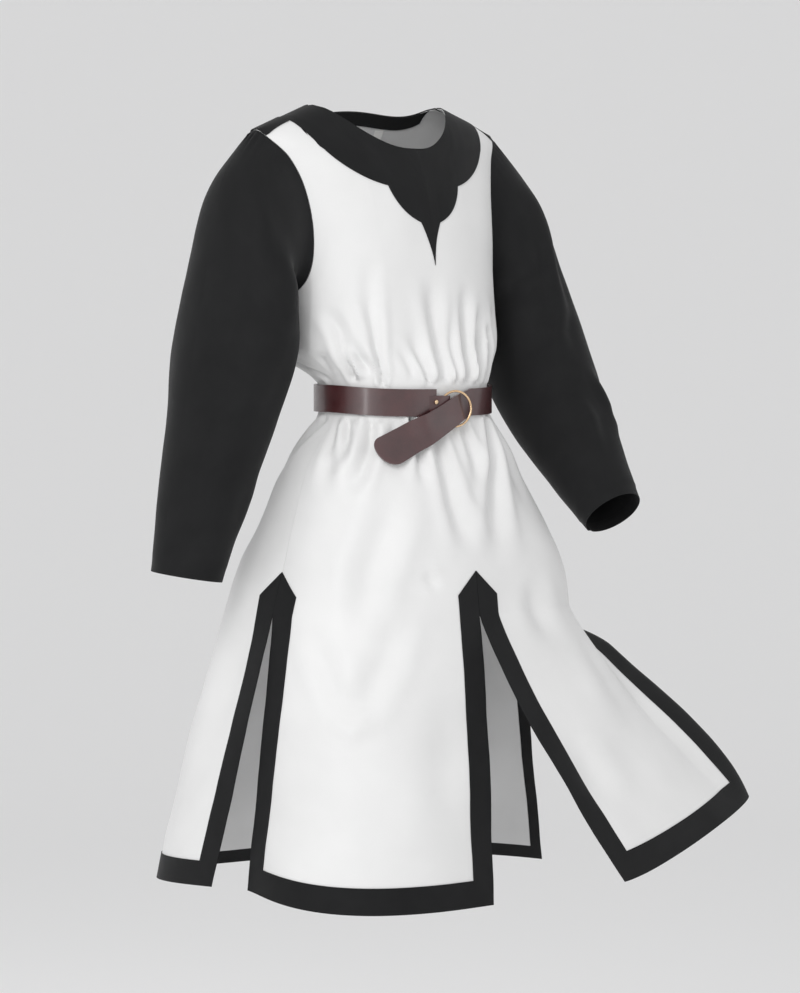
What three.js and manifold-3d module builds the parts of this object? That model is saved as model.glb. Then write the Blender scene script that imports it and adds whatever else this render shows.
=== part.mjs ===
// A hollow long-sleeved medieval tunic with slit skirt, black trim and a ring belt.
// Millimetres, +Z up. X runs to the wearer's left, -Y is the front.
// The origin lies mid-way between the two neck points, where the shoulders carry the garment.
import * as THREE from 'three';
import { mergeVertices } from 'three/addons/utils/BufferGeometryUtils.js';
import Module from 'manifold-3d';

// ---------------------------------------------------------------- driving sizes
const WHITE_WALL = 1.6;      // white twill with its turned seam allowances
const BLACK_WALL = 1.4;      // black twill of the sleeves, yoke and trims
const SEAM = 0.3;            // space left between two pieces that meet
const TRIM_WIDTH = 37;       // sewn-on band round each tab of the skirt
const TRIM_OVERHANG = 20;    // how far that band reaches past the white cloth
const TRIM_HEAD = 33;        // fall of the pointed head of each slit's band
const UNDERARM = -262;       // height where the armholes end
const ROLL_POWER = 2.2;      // roundness of the cloth over the shoulder
const SHOULDER_Y = -3;       // the shoulder seam lies a little in front of the origin
const NECK_HALF = 122;       // half the distance between the neck points
const NECK_TOP = 14;         // height of the neck points
const SHOULDER_SLOPE = 0.37; // fall of the shoulder seam from neck point to tip
const NECK_DIP = { front: 45.5, back: 26 }; // degrees the neck edge rolls over at the centre
// How full the neck edge's curve is, from its centre to each neck point.
const NECK_CURVE = {
  front: { flat: 2.2, right: 0.56, left: 0.85 },
  back: { flat: 4, right: 0.5, left: 0.5 },
};
const HEM = -1096;           // height of the hem of a panel that hangs straight
const SLIT_PEAK = -634;      // tip of the pointed head of each slit's band
const SLIT_TOP = -694;       // top end of the open slits
const YOKE_REACH = 174;      // the yoke and collar end here along the shoulder seam
const SHOULDER_START = 0.006; // roll, in radians, where front and back stop short of each other
const ARMHOLE_SEAM = 0.0025; // the same at the armhole, as a part of psi
const SIDE_SEAM = 0.45;      // half the space between front and back at the side seam

// Level sections of the body, from the shoulders down to the hem.
// half: side half-width; front, side, back: Y of centre front, side seam, centre back;
// full: superellipse power, 2 for an ellipse and more for squarer corners.
const SECTIONS = [
  { z: 70, half: 240, front: -112, side: -4, back: 74, full: 2.3 },
  { z: -23, half: 238, front: -120, side: -6, back: 80, full: 2.3 },
  { z: -60, half: 214, front: -124, side: -8, back: 84, full: 2.3 },
  { z: -110, half: 197, front: -128, side: -11, back: 88, full: 2.3 },
  { z: -180, half: 187, front: -131, side: -14, back: 90, full: 2.35 },
  { z: -262, half: 180, front: -137, side: -20, back: 88, full: 2.4 },
  { z: -325, half: 168, front: -147, side: -38, back: 84, full: 2.3 },
  { z: -340, half: 157, front: -153, side: -48, back: 80, full: 2.2 },
  { z: -356, half: 142, front: -160, side: -61, back: 52, full: 2.15 },
  { z: -372, half: 132, front: -161, side: -68, back: 30, full: 2.15 },
  { z: -422, half: 133, front: -162, side: -68, back: 30, full: 2.15 },
  { z: -480, half: 175, front: -181, side: -66, back: 62, full: 2.2 },
  { z: -560, half: 203, front: -200, side: -64, back: 100, full: 2.35 },
  { z: -635, half: 221, front: -213, side: -60, back: 148, full: 2.45 },
  { z: -850, half: 265, front: -238, side: -40, back: 214, full: 2.5 },
  { z: -1100, half: 312, front: -256, side: -16, back: 252, full: 2.5 },
];

// How far round the body a panel reaches, in degrees from its centre line.
const ARMHOLE = [
  { z: -23, reach: 67 },
  { z: -60, reach: 63 },
  { z: -110, reach: 62 },
  { z: -180, reach: 64 },
  { z: -230, reach: 72 },
  { z: -262, reach: 90 },
];

// How each tab of the skirt leaves the level section by the time it reaches the hem.
// first: its edge nearer the wearer's right; last: its other edge; middle: half-way between.
// bend is the power of the curve of each: 1 is straight, more curls out towards the hem.
// flare: how far the last edge turns outwards between slit top and hem; from: where across the
// tab that starts; full: part of the way down where it is fully turned.
const TABS = {
  frontRight: {
    face: 'front', from: -1, to: 0,
    first: { x: 58, y: -6, rise: 20, bend: 0.9 },
    middle: { x: 4, y: 0, rise: 0, bend: 1.3 },
    last: { x: -5, y: 0, rise: 0, bend: 1.3 },
  },
  frontLeft: {
    face: 'front', from: 0, to: 1,
    first: { x: 66, y: -184, rise: 42, bend: 1.25 },
    middle: { x: 26, y: -212, rise: 90, bend: 1.1 },
    last: { x: 94, y: -334, rise: 132, bend: 1.05 },
    flare: { x: 34, y: -32, rise: 14, from: 0.8, full: 0.28 },
  },
  back: {
    face: 'back', from: -1, to: 1,
    first: { x: 16, y: 20, rise: 26, bend: 1.2 },
    middle: { x: 0, y: 0, rise: 18, bend: 1.3 },
    last: { x: 6, y: -8, rise: 18, bend: 1.3 },
  },
};

// Soft grooves (deep > 0) and swells (deep < 0) in the cloth.
// from, to: place at the top and bottom, in parts of the way from centre line to side seam.
const FOLDS = [
  { face: 'front', top: -480, bottom: -960, from: 0.66, to: 0.66, wide: 0.34, deep: -30, low: 0.35 },
  { face: 'back', top: -480, bottom: -960, from: 1.34, to: 1.34, wide: 0.34, deep: -30, low: 0.35 },
  { face: 'front', top: -180, bottom: -384, from: -0.42, to: -0.4, wide: 0.05, deep: 7, low: 0.8 },
  { face: 'front', top: -262, bottom: -384, from: -0.2, to: -0.14, wide: 0.05, deep: 5, low: 0.8 },
  { face: 'front', top: -200, bottom: -384, from: 0.0, to: 0.02, wide: 0.05, deep: 6, low: 0.8 },
  { face: 'front', top: -240, bottom: -384, from: 0.3, to: 0.26, wide: 0.06, deep: 7, low: 0.8 },
  { face: 'front', top: -300, bottom: -384, from: -0.78, to: -0.72, wide: 0.05, deep: 7, low: 0.8 },
  { face: 'back', top: -220, bottom: -384, from: -0.5, to: -0.45, wide: 0.06, deep: 7, low: 0.8 },
  { face: 'back', top: -260, bottom: -384, from: 0.05, to: 0.05, wide: 0.06, deep: 6, low: 0.8 },
  { face: 'back', top: -230, bottom: -384, from: 0.48, to: 0.44, wide: 0.06, deep: 7, low: 0.8 },
];

// Rings of each sleeve below the armhole. x, y, z: the middle, x counted outwards; wide: half
// size across the arm; deep: half size front to back; lean: degrees the ring tips outwards.
const SLEEVES = {
  right: [
    { x: 240, y: -13, z: -165, wide: 92, deep: 80, lean: 55 },
    { x: 244, y: -4, z: -235, wide: 72, deep: 95, lean: 28 },
    { x: 250, y: 12, z: -325, wide: 69, deep: 98, lean: 10 },
    { x: 262, y: 26, z: -430, wide: 66, deep: 84, lean: 8 },
    { x: 284, y: 38, z: -535, wide: 58, deep: 66, lean: 10 },
    { x: 304, y: 48, z: -641, wide: 47, deep: 54, lean: 7 },
  ],
  left: [
    { x: 232, y: -12, z: -168, wide: 90, deep: 80, lean: 54 },
    { x: 250, y: -26, z: -240, wide: 72, deep: 90, lean: 28 },
    { x: 254, y: -62, z: -325, wide: 68, deep: 90, lean: 6 },
    { x: 255, y: -110, z: -405, wide: 64, deep: 80, lean: 0 },
    { x: 255, y: -170, z: -485, wide: 55, deep: 62, lean: 0 },
    { x: 252, y: -234, z: -560, wide: 44, deep: 44, lean: 0 },
  ],
};
const SLEEVE_STEPS = 15;     // rings along a sleeve below its first table row
const CAP_STEPS = 4;         // rings from the armhole to that row

// Scalloped lower edge of the yoke, from the shoulder to the centre: x from the centre.
const YOKE_EDGE = {
  shoulder: { x: YOKE_REACH, z: 40 },
  seam: { x: YOKE_REACH, z: -8 },
  cusp: { x: 66, z: -99 },
  inner: { x: 18, z: -150 },
  tip: { x: 0, z: -210 },
};
const YOKE_SWELL = { scallop: 18, lobe: 9, spike: -3 };   // how far each arc leaves its chord
const COLLAR_DROP = 50;      // width of the plain collar on the back, below the neck edge
const FACING_DROP = 18;      // width of the band that shows inside the back of the neck
const COLLAR_END = -30;      // height of the collar's lower edge at the shoulder
const LABEL = { x: 56, width: 15, height: 13, wall: 0.6 };   // bare tape tab under that band

// The belt: a plain strap through a ring at centre front, its free end hanging over itself.
const BELT = { width: 38, wall: 3, middle: -395, droop: 6, off: 2.6 };
const RING = { x: 0, y: -173.7, z: -409.5, radius: 24.5, wire: 1.7, turn: -15 };
const TAIL = { start: 4, end: -126, top: -409, fall: 66, over: 12.6, rest: 6.2 };
const LOOP = {
  wall: 1.6, right: -9, back: -26, left: -45, height: 32, drop: 6, under: 2, above: 11.8, tip: 8,
};
const RIVET = { x: -34, radius: 3.4, stand: 1.3, under: 1.5 };

// ---------------------------------------------------------------- small mathematics
const rad = THREE.MathUtils.degToRad;
const { clamp, lerp } = THREE.MathUtils;
const smooth = (t) => {
  const c = clamp(t, 0, 1);
  return c * c * (3 - 2 * c);
};
const power = (value, exponent) => Math.sign(value) * Math.abs(value) ** exponent;

// Smooth reading of one column of a table that is sorted by falling z.
function read(rows, z, column) {
  const last = rows.length - 1;
  if (z >= rows[0].z) return rows[0][column];
  if (z <= rows[last].z) return rows[last][column];
  let k = 0;
  while (rows[k + 1].z > z) k += 1;
  const slope = (i) => {
    const above = rows[Math.max(i - 1, 0)];
    const below = rows[Math.min(i + 1, last)];
    return (below[column] - above[column]) / (below.z - above.z);
  };
  const span = rows[k + 1].z - rows[k].z;
  const t = (z - rows[k].z) / span;
  return rows[k][column] * (1 - smooth(t)) + rows[k + 1][column] * smooth(t)
    + slope(k) * span * t * (1 - t) ** 2 - slope(k + 1) * span * t * t * (1 - t);
}

// ---------------------------------------------------------------- the body's form
// psi runs from -1 at the wearer's right side seam, through 0 at the centre line, to 1.
// The top of the form falls along the shoulders and levels off between the neck points.
function shoulderHeight(x) {
  const out = Math.abs(x);
  const run = out < NECK_HALF ? (out ** 2 + NECK_HALF ** 2) / (2 * NECK_HALF) : out;
  return NECK_TOP - SHOULDER_SLOPE * (run - NECK_HALF);
}

function widthAt(psi, z) {
  const angle = Math.abs(psi) * rad(read(ARMHOLE, z, 'reach'));
  const x = read(SECTIONS, z, 'half') * power(Math.sin(angle), 2 / read(SECTIONS, z, 'full'));
  return Math.sign(psi) * x;
}

function depthAt(face, psi, x, z) {
  const full = read(SECTIONS, z, 'full');
  const side = read(SECTIONS, z, 'side');
  const angle = Math.abs(psi) * rad(read(ARMHOLE, z, 'reach'));
  const reach = read(SECTIONS, z, face) - side;
  const y = side + reach * power(Math.cos(angle), 2 / full);
  if (z <= UNDERARM) return y;
  const rise = Math.min((z - UNDERARM) / (shoulderHeight(x) - UNDERARM), 1);
  return SHOULDER_Y + (y - SHOULDER_Y) * (1 - rise ** ROLL_POWER) ** (1 / ROLL_POWER);
}

// Depth of the folds at a place: positive presses the cloth inwards.
function foldAt(face, psi, z) {
  let depth = 0;
  for (const fold of FOLDS) {
    if (fold.face !== face || z > fold.top || z < fold.bottom) continue;
    const t = (fold.top - z) / (fold.top - fold.bottom);
    const middle = lerp(fold.from, fold.to, t);
    const along = t < fold.low ? smooth(t / fold.low) : smooth((1 - t) / (1 - fold.low));
    depth += fold.deep * along * Math.exp(-(((psi - middle) / fold.wide) ** 2));
  }
  return depth;
}

// How far a tab has swung out at a place below the top of its slits.
function swingAt(tab, psi, z) {
  const fall = clamp((SLIT_TOP - z) / (SLIT_TOP - HEM), 0, 1.05);
  const across = clamp((psi - tab.from) / (tab.to - tab.from), 0, 1);
  const shares = [
    [tab.first, (1 - across) * (1 - 2 * across)],
    [tab.middle, 4 * across * (1 - across)],
    [tab.last, across * (2 * across - 1)],
  ];
  const swing = new THREE.Vector3();
  for (const [line, share] of shares) {
    swing.addScaledVector(new THREE.Vector3(line.x, line.y, line.rise), share * fall ** line.bend);
  }
  if (tab.flare) {
    const { x, y, rise, from, full } = tab.flare;
    const turned = clamp((across - from) / (1 - from), 0, 1) ** 1.5;
    const down = smooth(fall / full) * Math.max(1 - fall ** 5, 0);
    swing.addScaledVector(new THREE.Vector3(x, y, rise), turned * down);
  }
  return swing;
}

// A point of the cloth below the armholes.
function clothAt(tab, psi, z) {
  const x = widthAt(psi, z);
  const y = depthAt(tab.face, psi, x, z);
  const fold = foldAt(tab.face, psi, z);
  const middle = read(SECTIONS, z, 'side');
  const inward = new THREE.Vector3(-x, middle - y, 0).normalize();
  return new THREE.Vector3(x, y, z).addScaledVector(inward, fold).add(swingAt(tab, psi, z));
}

// The column of the neck point: where the shoulder seam is NECK_HALF from the centre.
let neckPsi = 0.5;
for (let step = 0.25; step > 1e-7; step /= 2) {
  neckPsi += widthAt(neckPsi, NECK_TOP) < NECK_HALF ? step : -step;
}

// A point of the cloth above the underarm; t runs from the neck or shoulder edge down to it.
function chestAt(face, psi, t) {
  let top = NECK_TOP;
  for (let k = 0; k < 12; k += 1) top = shoulderHeight(widthAt(psi, top));
  const toNeck = Math.min(Math.abs(psi) / neckPsi, 1);
  const curve = NECK_CURVE[face];
  const rolled = (1 - toNeck ** curve.flat) ** (psi < 0 ? curve.right : curve.left);
  const start = rad(NECK_DIP[face]) * rolled + SHOULDER_START;
  const roll = lerp(start, Math.PI / 2, t);
  const z = UNDERARM + (top - UNDERARM) * Math.max(Math.cos(roll), 0) ** (2 / ROLL_POWER);
  const x = widthAt(psi, z);
  const y = depthAt(face, psi, x, z);
  const fold = foldAt(face, psi, z);
  return new THREE.Vector3(x, y + (face === 'front' ? fold : -fold), z);
}

// ---------------------------------------------------------------- sheets and solids
// A sheet is an open surface of welded points; geometry() gives it a wall.
class Sheet {
  constructor() {
    this.points = [];
    this.faces = [];
    this.index = new Map();
  }

  point(p) {
    const key = [p.x, p.y, p.z].map((v) => Math.round(v * 100)).join(',');
    if (!this.index.has(key)) {
      this.index.set(key, this.points.length);
      this.points.push(p.clone());
    }
    return this.index.get(key);
  }

  face(a, b, c) {
    const corners = [this.point(a), this.point(b), this.point(c)];
    if (new Set(corners).size === 3) this.faces.push(corners);
  }

  quad(a, b, c, d) {
    this.face(a, b, c);
    this.face(a, c, d);
  }

  // rows of points, each row as long as the next; faces look out when rows run down
  // and points run to the wearer's right side on the front.
  grid(rows) {
    for (let r = 0; r + 1 < rows.length; r += 1) {
      for (let c = 0; c + 1 < rows[r].length; c += 1) {
        this.quad(rows[r][c], rows[r + 1][c], rows[r + 1][c + 1], rows[r][c + 1]);
      }
    }
    return this;
  }

  normals() {
    const sum = this.points.map(() => new THREE.Vector3());
    for (const [a, b, c] of this.faces) {
      const [p, q, r] = [this.points[a], this.points[b], this.points[c]];
      const n = q.clone().sub(p).cross(r.clone().sub(p));
      for (const corner of [a, b, c]) sum[corner].add(n);
    }
    return sum.map((n) => n.normalize());
  }

  // Both faces of the wall, low and high from this surface, closed along its edges.
  geometry(low, high, normals = this.normals()) {
    const count = this.points.length;
    const moved = (off) => this.points.map((p, i) => p.clone().addScaledVector(normals[i], off));
    const places = [...moved(high), ...moved(low)];
    const faces = [];
    const edges = new Map();
    for (const [a, b, c] of this.faces) {
      faces.push([a, b, c], [count + a, count + c, count + b]);
      for (const [i, j] of [[a, b], [b, c], [c, a]]) {
        if (!edges.delete(`${j},${i}`)) edges.set(`${i},${j}`, [i, j]);
      }
    }
    for (const [i, j] of edges.values()) faces.push([j, i, count + i], [j, count + i, count + j]);
    const geometry = new THREE.BufferGeometry();
    const numbers = places.flatMap((p) => p.toArray());
    geometry.setAttribute('position', new THREE.Float32BufferAttribute(numbers, 3));
    geometry.setIndex(faces.flat());
    return geometry;
  }
}

const ON_CLOTH = WHITE_WALL / 2 + SEAM;   // how far out the pieces on a panel lie

const wasm = await Module();
wasm.setup();

function toManifold(geometry) {
  const clean = geometry.clone();
  clean.deleteAttribute('normal');
  clean.deleteAttribute('uv');
  const merged = mergeVertices(clean, 1e-4);
  return new wasm.Manifold(new wasm.Mesh({
    numProp: 3,
    vertProperties: new Float32Array(merged.attributes.position.array),
    triVerts: new Uint32Array(merged.index.array),
  }));
}

function fromManifold(body) {
  const mesh = body.getMesh();
  const geometry = new THREE.BufferGeometry();
  geometry.setAttribute('position', new THREE.Float32BufferAttribute(mesh.vertProperties, 3));
  geometry.setIndex(Array.from(mesh.triVerts));
  return geometry;
}

// ---------------------------------------------------------------- rows and columns
const CHEST_ROLL = [0, 0.12, 0.21, 0.3, 0.4, 0.5, 0.6, 0.7, 0.8, 0.9, 1];
const LEVELS = [
  -284, -306, -326, -344, -358, -370, -380, -398, -416, -436, -456, -482, -515, -550, -590,
  SLIT_PEAK, SLIT_PEAK - TRIM_HEAD, SLIT_TOP, -730, -775, -825, -875, -925, -975, -1020,
  HEM + TRIM_WIDTH, HEM + TRIM_OVERHANG,
];

// Distances along one level of a tab, measured from its first edge.
function levelRuler(tab, z) {
  const samples = 72;
  const psis = [];
  const lengths = [0];
  let before = null;
  for (let k = 0; k <= samples; k += 1) {
    const psi = lerp(tab.from, tab.to, k / samples);
    const p = clothAt(tab, psi, z);
    if (before) lengths.push(lengths[k - 1] + p.distanceTo(before));
    psis.push(psi);
    before = p;
  }
  const total = lengths[samples];
  const psiAt = (distance) => {
    const d = clamp(distance, 0, total);
    let k = 0;
    while (k < samples - 1 && lengths[k + 1] < d) k += 1;
    return lerp(psis[k], psis[k + 1], (d - lengths[k]) / (lengths[k + 1] - lengths[k]));
  };
  const distanceAt = (psi) => {
    const k = clamp(Math.floor(((psi - tab.from) / (tab.to - tab.from)) * samples), 0, samples - 1);
    return lerp(lengths[k], lengths[k + 1], (psi - psis[k]) / (psis[k + 1] - psis[k]));
  };
  return { total, psiAt, distanceAt };
}

const TRIM_THROAT = SLIT_PEAK - TRIM_HEAD;   // where the bands of a slit part

// How far the white cloth stays back from a slit's edge, at centre front or at the side.
const setBack = (z) => TRIM_OVERHANG * smooth((TRIM_THROAT - z) / (TRIM_THROAT - SLIT_TOP));

// Columns of a tab at the underarm, as psi, from its first edge to its last.
function columnsOf(tab, count) {
  const ruler = levelRuler(tab, UNDERARM);
  const columns = [tab.from];
  for (let k = 1; k < count; k += 1) {
    const share = (k - 1) / (count - 2);
    columns.push(ruler.psiAt(lerp(TRIM_WIDTH, ruler.total - TRIM_WIDTH, share)));
  }
  columns.push(tab.to);
  for (const neck of [-neckPsi, neckPsi]) {
    if (neck < tab.from || neck > tab.to) continue;
    let near = 1;
    columns.forEach((psi, k) => { if (Math.abs(psi - neck) < Math.abs(columns[near] - neck)) near = k; });
    columns[near] = neck;
  }
  return columns;
}

const COLUMNS = {
  frontRight: columnsOf(TABS.frontRight, 11),
  frontLeft: columnsOf(TABS.frontLeft, 11),
  back: columnsOf(TABS.back, 20),
};

// Points of a tab's white cloth on one level below the underarm. The edges at the side seams
// stay half a seam back; centre front is shared by both tabs until the slit starts.
function clothLevel(name, z) {
  const tab = TABS[name];
  const top = levelRuler(tab, UNDERARM);
  const ruler = levelRuler(tab, z);
  const columns = COLUMNS[name];
  const last = columns.length - 1;
  const edge = (psi) => (psi === 0 ? 0 : SIDE_SEAM);
  return columns.map((psi, k) => {
    let d = (top.distanceAt(psi) / top.total) * ruler.total;
    if (k === 0) d = Math.max(setBack(z), edge(tab.from));
    if (k === 1) d = TRIM_WIDTH;
    if (k === last - 1) d = ruler.total - TRIM_WIDTH;
    if (k === last) d = ruler.total - Math.max(setBack(z), edge(tab.to));
    return ruler.psiAt(d);
  });
}

// The white panel: chest rows from the shoulder and neck, then levels down to the hem.
function panelSheet(names) {
  const sheet = new Sheet();
  for (const name of names) {
    const tab = TABS[name];
    const rows = CHEST_ROLL.map((t) => COLUMNS[name].map((psi) => {
      const side = Math.abs(psi) === 1 ? Math.sign(psi) * (1 - ARMHOLE_SEAM) : psi;
      return chestAt(tab.face, side, t);
    }));
    for (const z of LEVELS) rows.push(clothLevel(name, z).map((psi) => clothAt(tab, psi, z)));
    sheet.grid(tab.face === 'front' ? rows : rows.map((row) => row.slice().reverse()));
  }
  return sheet;
}

// The bands of a tab: two upright strips with pointed heads and one along the hem,
// sewn as one piece. Its points are the panel's own, moved out when it gets its wall.
function trimSheet(name) {
  const tab = TABS[name];
  const sheet = new Sheet();
  const head = SLIT_PEAK - TRIM_HEAD;
  const levels = LEVELS.filter((z) => z <= head);
  const at = (d, z) => {
    const ruler = levelRuler(tab, z);
    return clothAt(tab, ruler.psiAt(d < 0 ? ruler.total + d : d), z);
  };
  const half = SEAM / 2;
  const flip = tab.face === 'back';
  for (const sign of [1, -1]) {
    const quad = (...corners) => sheet.quad(...((sign === -1) !== flip ? corners.reverse() : corners));
    const strip = (z) => [half, Math.max(setBack(z), half), TRIM_WIDTH].map((d) => at(sign * d, z));
    const peak = at(sign * half, SLIT_PEAK);
    const first = strip(head);
    quad(peak, first[0], first[2], peak);
    const rows = [...levels.map(strip), strip(HEM)];
    for (let r = 0; r + 1 < rows.length; r += 1) {
      for (const c of [0, 1]) quad(rows[r][c], rows[r + 1][c], rows[r + 1][c + 1], rows[r][c + 1]);
    }
  }
  const hemRows = [HEM + TRIM_WIDTH, HEM + TRIM_OVERHANG, HEM].map((z) => {
    const psis = clothLevel(name, Math.max(z, HEM)).slice(1, -1);
    return psis.map((psi) => clothAt(tab, psi, z));
  });
  sheet.grid(flip ? hemRows.map((row) => row.slice().reverse()) : hemRows);
  return sheet;
}

// ---------------------------------------------------------------- sleeves
function sleeveSheet(hand) {
  const out = hand === 'right' ? -1 : 1;
  const rows = SLEEVES[hand];
  const steps = CHEST_ROLL.length - 1;
  const edge = (face, k) => {
    const t = CHEST_ROLL[k];
    const rim = chestAt(face, out * (1 - ARMHOLE_SEAM), t);
    const inside = chestAt(face, out * 0.94, t);
    return rim.clone().addScaledVector(rim.clone().sub(inside).normalize(), BLACK_WALL);
  };
  const armhole = [];
  for (let k = 0; k <= steps; k += 1) armhole.push(edge('front', k));
  for (let k = steps - 1; k > 0; k -= 1) armhole.push(edge('back', k));
  const count = armhole.length;
  const column = (name) => new THREE.CatmullRomCurve3(
    rows.map((row, k) => new THREE.Vector3(k, row[name], 0)),
  );
  const place = new THREE.CatmullRomCurve3(rows.map((row) => new THREE.Vector3(out * row.x, row.y, row.z)));
  const sizes = { wide: column('wide'), deep: column('deep'), lean: column('lean') };
  const ring = (s) => {
    const middle = place.getPoint(s);
    const along = place.getTangent(s);
    const lean = rad(sizes.lean.getPoint(s).y);
    const across = new THREE.Vector3(out * Math.cos(lean), 0, Math.sin(lean));
    const fore = along.clone().cross(across).normalize();
    if (fore.y > 0) fore.negate();
    const [wide, deep] = [sizes.wide.getPoint(s).y, sizes.deep.getPoint(s).y];
    return armhole.map((_, k) => {
      const angle = (2 * Math.PI * k) / count;
      return middle.clone().addScaledVector(across, wide * Math.cos(angle))
        .addScaledVector(fore, deep * Math.sin(angle));
    });
  };
  const first = ring(0);
  const rings = [];
  for (let k = 0; k < CAP_STEPS; k += 1) {
    const u = k / CAP_STEPS;
    rings.push(armhole.map((p, i) => {
      const middle = p.clone().lerp(first[i], u);
      const lift = 4 * u * (1 - u) * 2;
      const top = Math.max(Math.cos((2 * Math.PI * i) / count), 0);
      return middle.add(new THREE.Vector3(0, 0, lift * top));
    }));
  }
  for (let k = 0; k <= SLEEVE_STEPS; k += 1) rings.push(ring(k / SLEEVE_STEPS));
  const sheet = new Sheet();
  return sheet.grid(rings.map((points) => {
    const closed = [...points, points[0]];
    return out < 0 ? closed.reverse() : closed;
  }));
}

// ---------------------------------------------------------------- yoke, collar, straps
const FAR = 400;             // further out than any of the cloth

// What lies on a panel is cut from that panel's own surface, moved out (or in): the sheet
// gets a wall beside the cloth, and an outline drawn in X and Z cuts the piece out of it.
function cutFrom(sheet, low, high, outline, near, far) {
  const shape = new THREE.Shape(outline.map((p) => new THREE.Vector2(p.x, p.z)));
  const block = new THREE.ExtrudeGeometry(shape, { depth: far - near, bevelEnabled: false });
  block.rotateX(Math.PI / 2).translate(0, far, 0);
  return fromManifold(toManifold(sheet.geometry(low, high)).intersect(toManifold(block)));
}

// Points of an arc that swells to one side of the straight line between two ends.
function arc(from, to, swell, steps) {
  const points = [];
  const length = Math.hypot(to.x - from.x, to.z - from.z);
  const side = { x: -(to.z - from.z) / length, z: (to.x - from.x) / length };
  for (let k = 0; k < steps; k += 1) {
    const t = k / steps;
    const out = swell * 4 * t * (1 - t);
    points.push({ x: lerp(from.x, to.x, t) + side.x * out, z: lerp(from.z, to.z, t) + side.z * out });
  }
  return points;
}

function yokeOutline() {
  const e = YOKE_EDGE;
  const half = [
    e.shoulder,
    ...arc(e.seam, e.cusp, YOKE_SWELL.scallop, 10),
    ...arc(e.cusp, e.inner, YOKE_SWELL.lobe, 8),
    ...arc(e.inner, e.tip, YOKE_SWELL.spike, 4),
    e.tip,
  ];
  const mirrored = half.slice(0, -1).reverse().map((p) => ({ x: -p.x, z: p.z }));
  return [...half, ...mirrored];
}

// The lower edge of a band that follows the back neck edge at a steady drop.
function belowNeck(drop, share) {
  const steps = 16;
  return Array.from({ length: steps + 1 }, (_, k) => {
    const p = chestAt('back', lerp(-share, share, k / steps) * neckPsi, 0);
    return { x: p.x, z: p.z - drop };
  });
}

function collarOutline() {
  const [right, left] = [-YOKE_REACH, YOKE_REACH];
  const top = YOKE_EDGE.shoulder.z;
  return [
    { x: right, z: COLLAR_END }, ...belowNeck(COLLAR_DROP, 1), { x: left, z: COLLAR_END },
    { x: left, z: top }, { x: right, z: top },
  ];
}

function facingOutline() {
  const below = belowNeck(FACING_DROP, 0.95);
  const top = YOKE_EDGE.shoulder.z;
  return [...below, { x: below.at(-1).x, z: top }, { x: below[0].x, z: top }];
}

function labelOutline() {
  const near = belowNeck(FACING_DROP, 0.95).reduce((a, b) => (
    Math.abs(a.x - LABEL.x) < Math.abs(b.x - LABEL.x) ? a : b
  ));
  const [left, right] = [LABEL.x + LABEL.width / 2, LABEL.x - LABEL.width / 2];
  const [top, bottom] = [near.z - 3, near.z - 3 - LABEL.height];
  return [{ x: right, z: bottom }, { x: left, z: bottom }, { x: left, z: top }, { x: right, z: top }];
}

// A strip over the shoulder seam, from the front panel's second row to the back panel's.
function shoulderStrip(out) {
  const columns = COLUMNS.frontLeft.filter((psi) => psi >= neckPsi);
  const rowOf = (face, t) => columns.map((psi) => chestAt(face, out * Math.min(psi, 1 - ARMHOLE_SEAM), t));
  const ridge = rowOf('front', 0).map((p, k) => p.lerp(rowOf('back', 0)[k], 0.5));
  const rows = [rowOf('back', CHEST_ROLL[1]), ridge, rowOf('front', CHEST_ROLL[1])];
  const sheet = new Sheet().grid(out > 0 ? rows : rows.map((row) => row.slice().reverse()));
  const outer = 300;
  const ends = [YOKE_REACH + SEAM, outer].map((x) => out * x);
  const outline = [[0, 60], [1, 60], [1, -200], [0, -200]].map(([k, z]) => ({ x: ends[k], z }));
  const low = ON_CLOTH + SEAM;
  return cutFrom(sheet, low, low + BLACK_WALL, outline, -FAR, FAR);
}

// ---------------------------------------------------------------- belt
// Where the cloth's plain section lies at a given x on the front, at one height.
function frontY(x, z) {
  const full = read(SECTIONS, z, 'full');
  const side = read(SECTIONS, z, 'side');
  const share = Math.min(Math.abs(x) / read(SECTIONS, z, 'half'), 1);
  return side + (read(SECTIONS, z, 'front') - side) * (1 - share ** full) ** (1 / full);
}

const BELT_LEVEL = BELT.middle - BELT.droop - BELT.width / 2;   // its lowest edge, at the front
const beltHeight = (y) => BELT.middle - BELT.droop * smooth((-60 - y) / 110);

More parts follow.
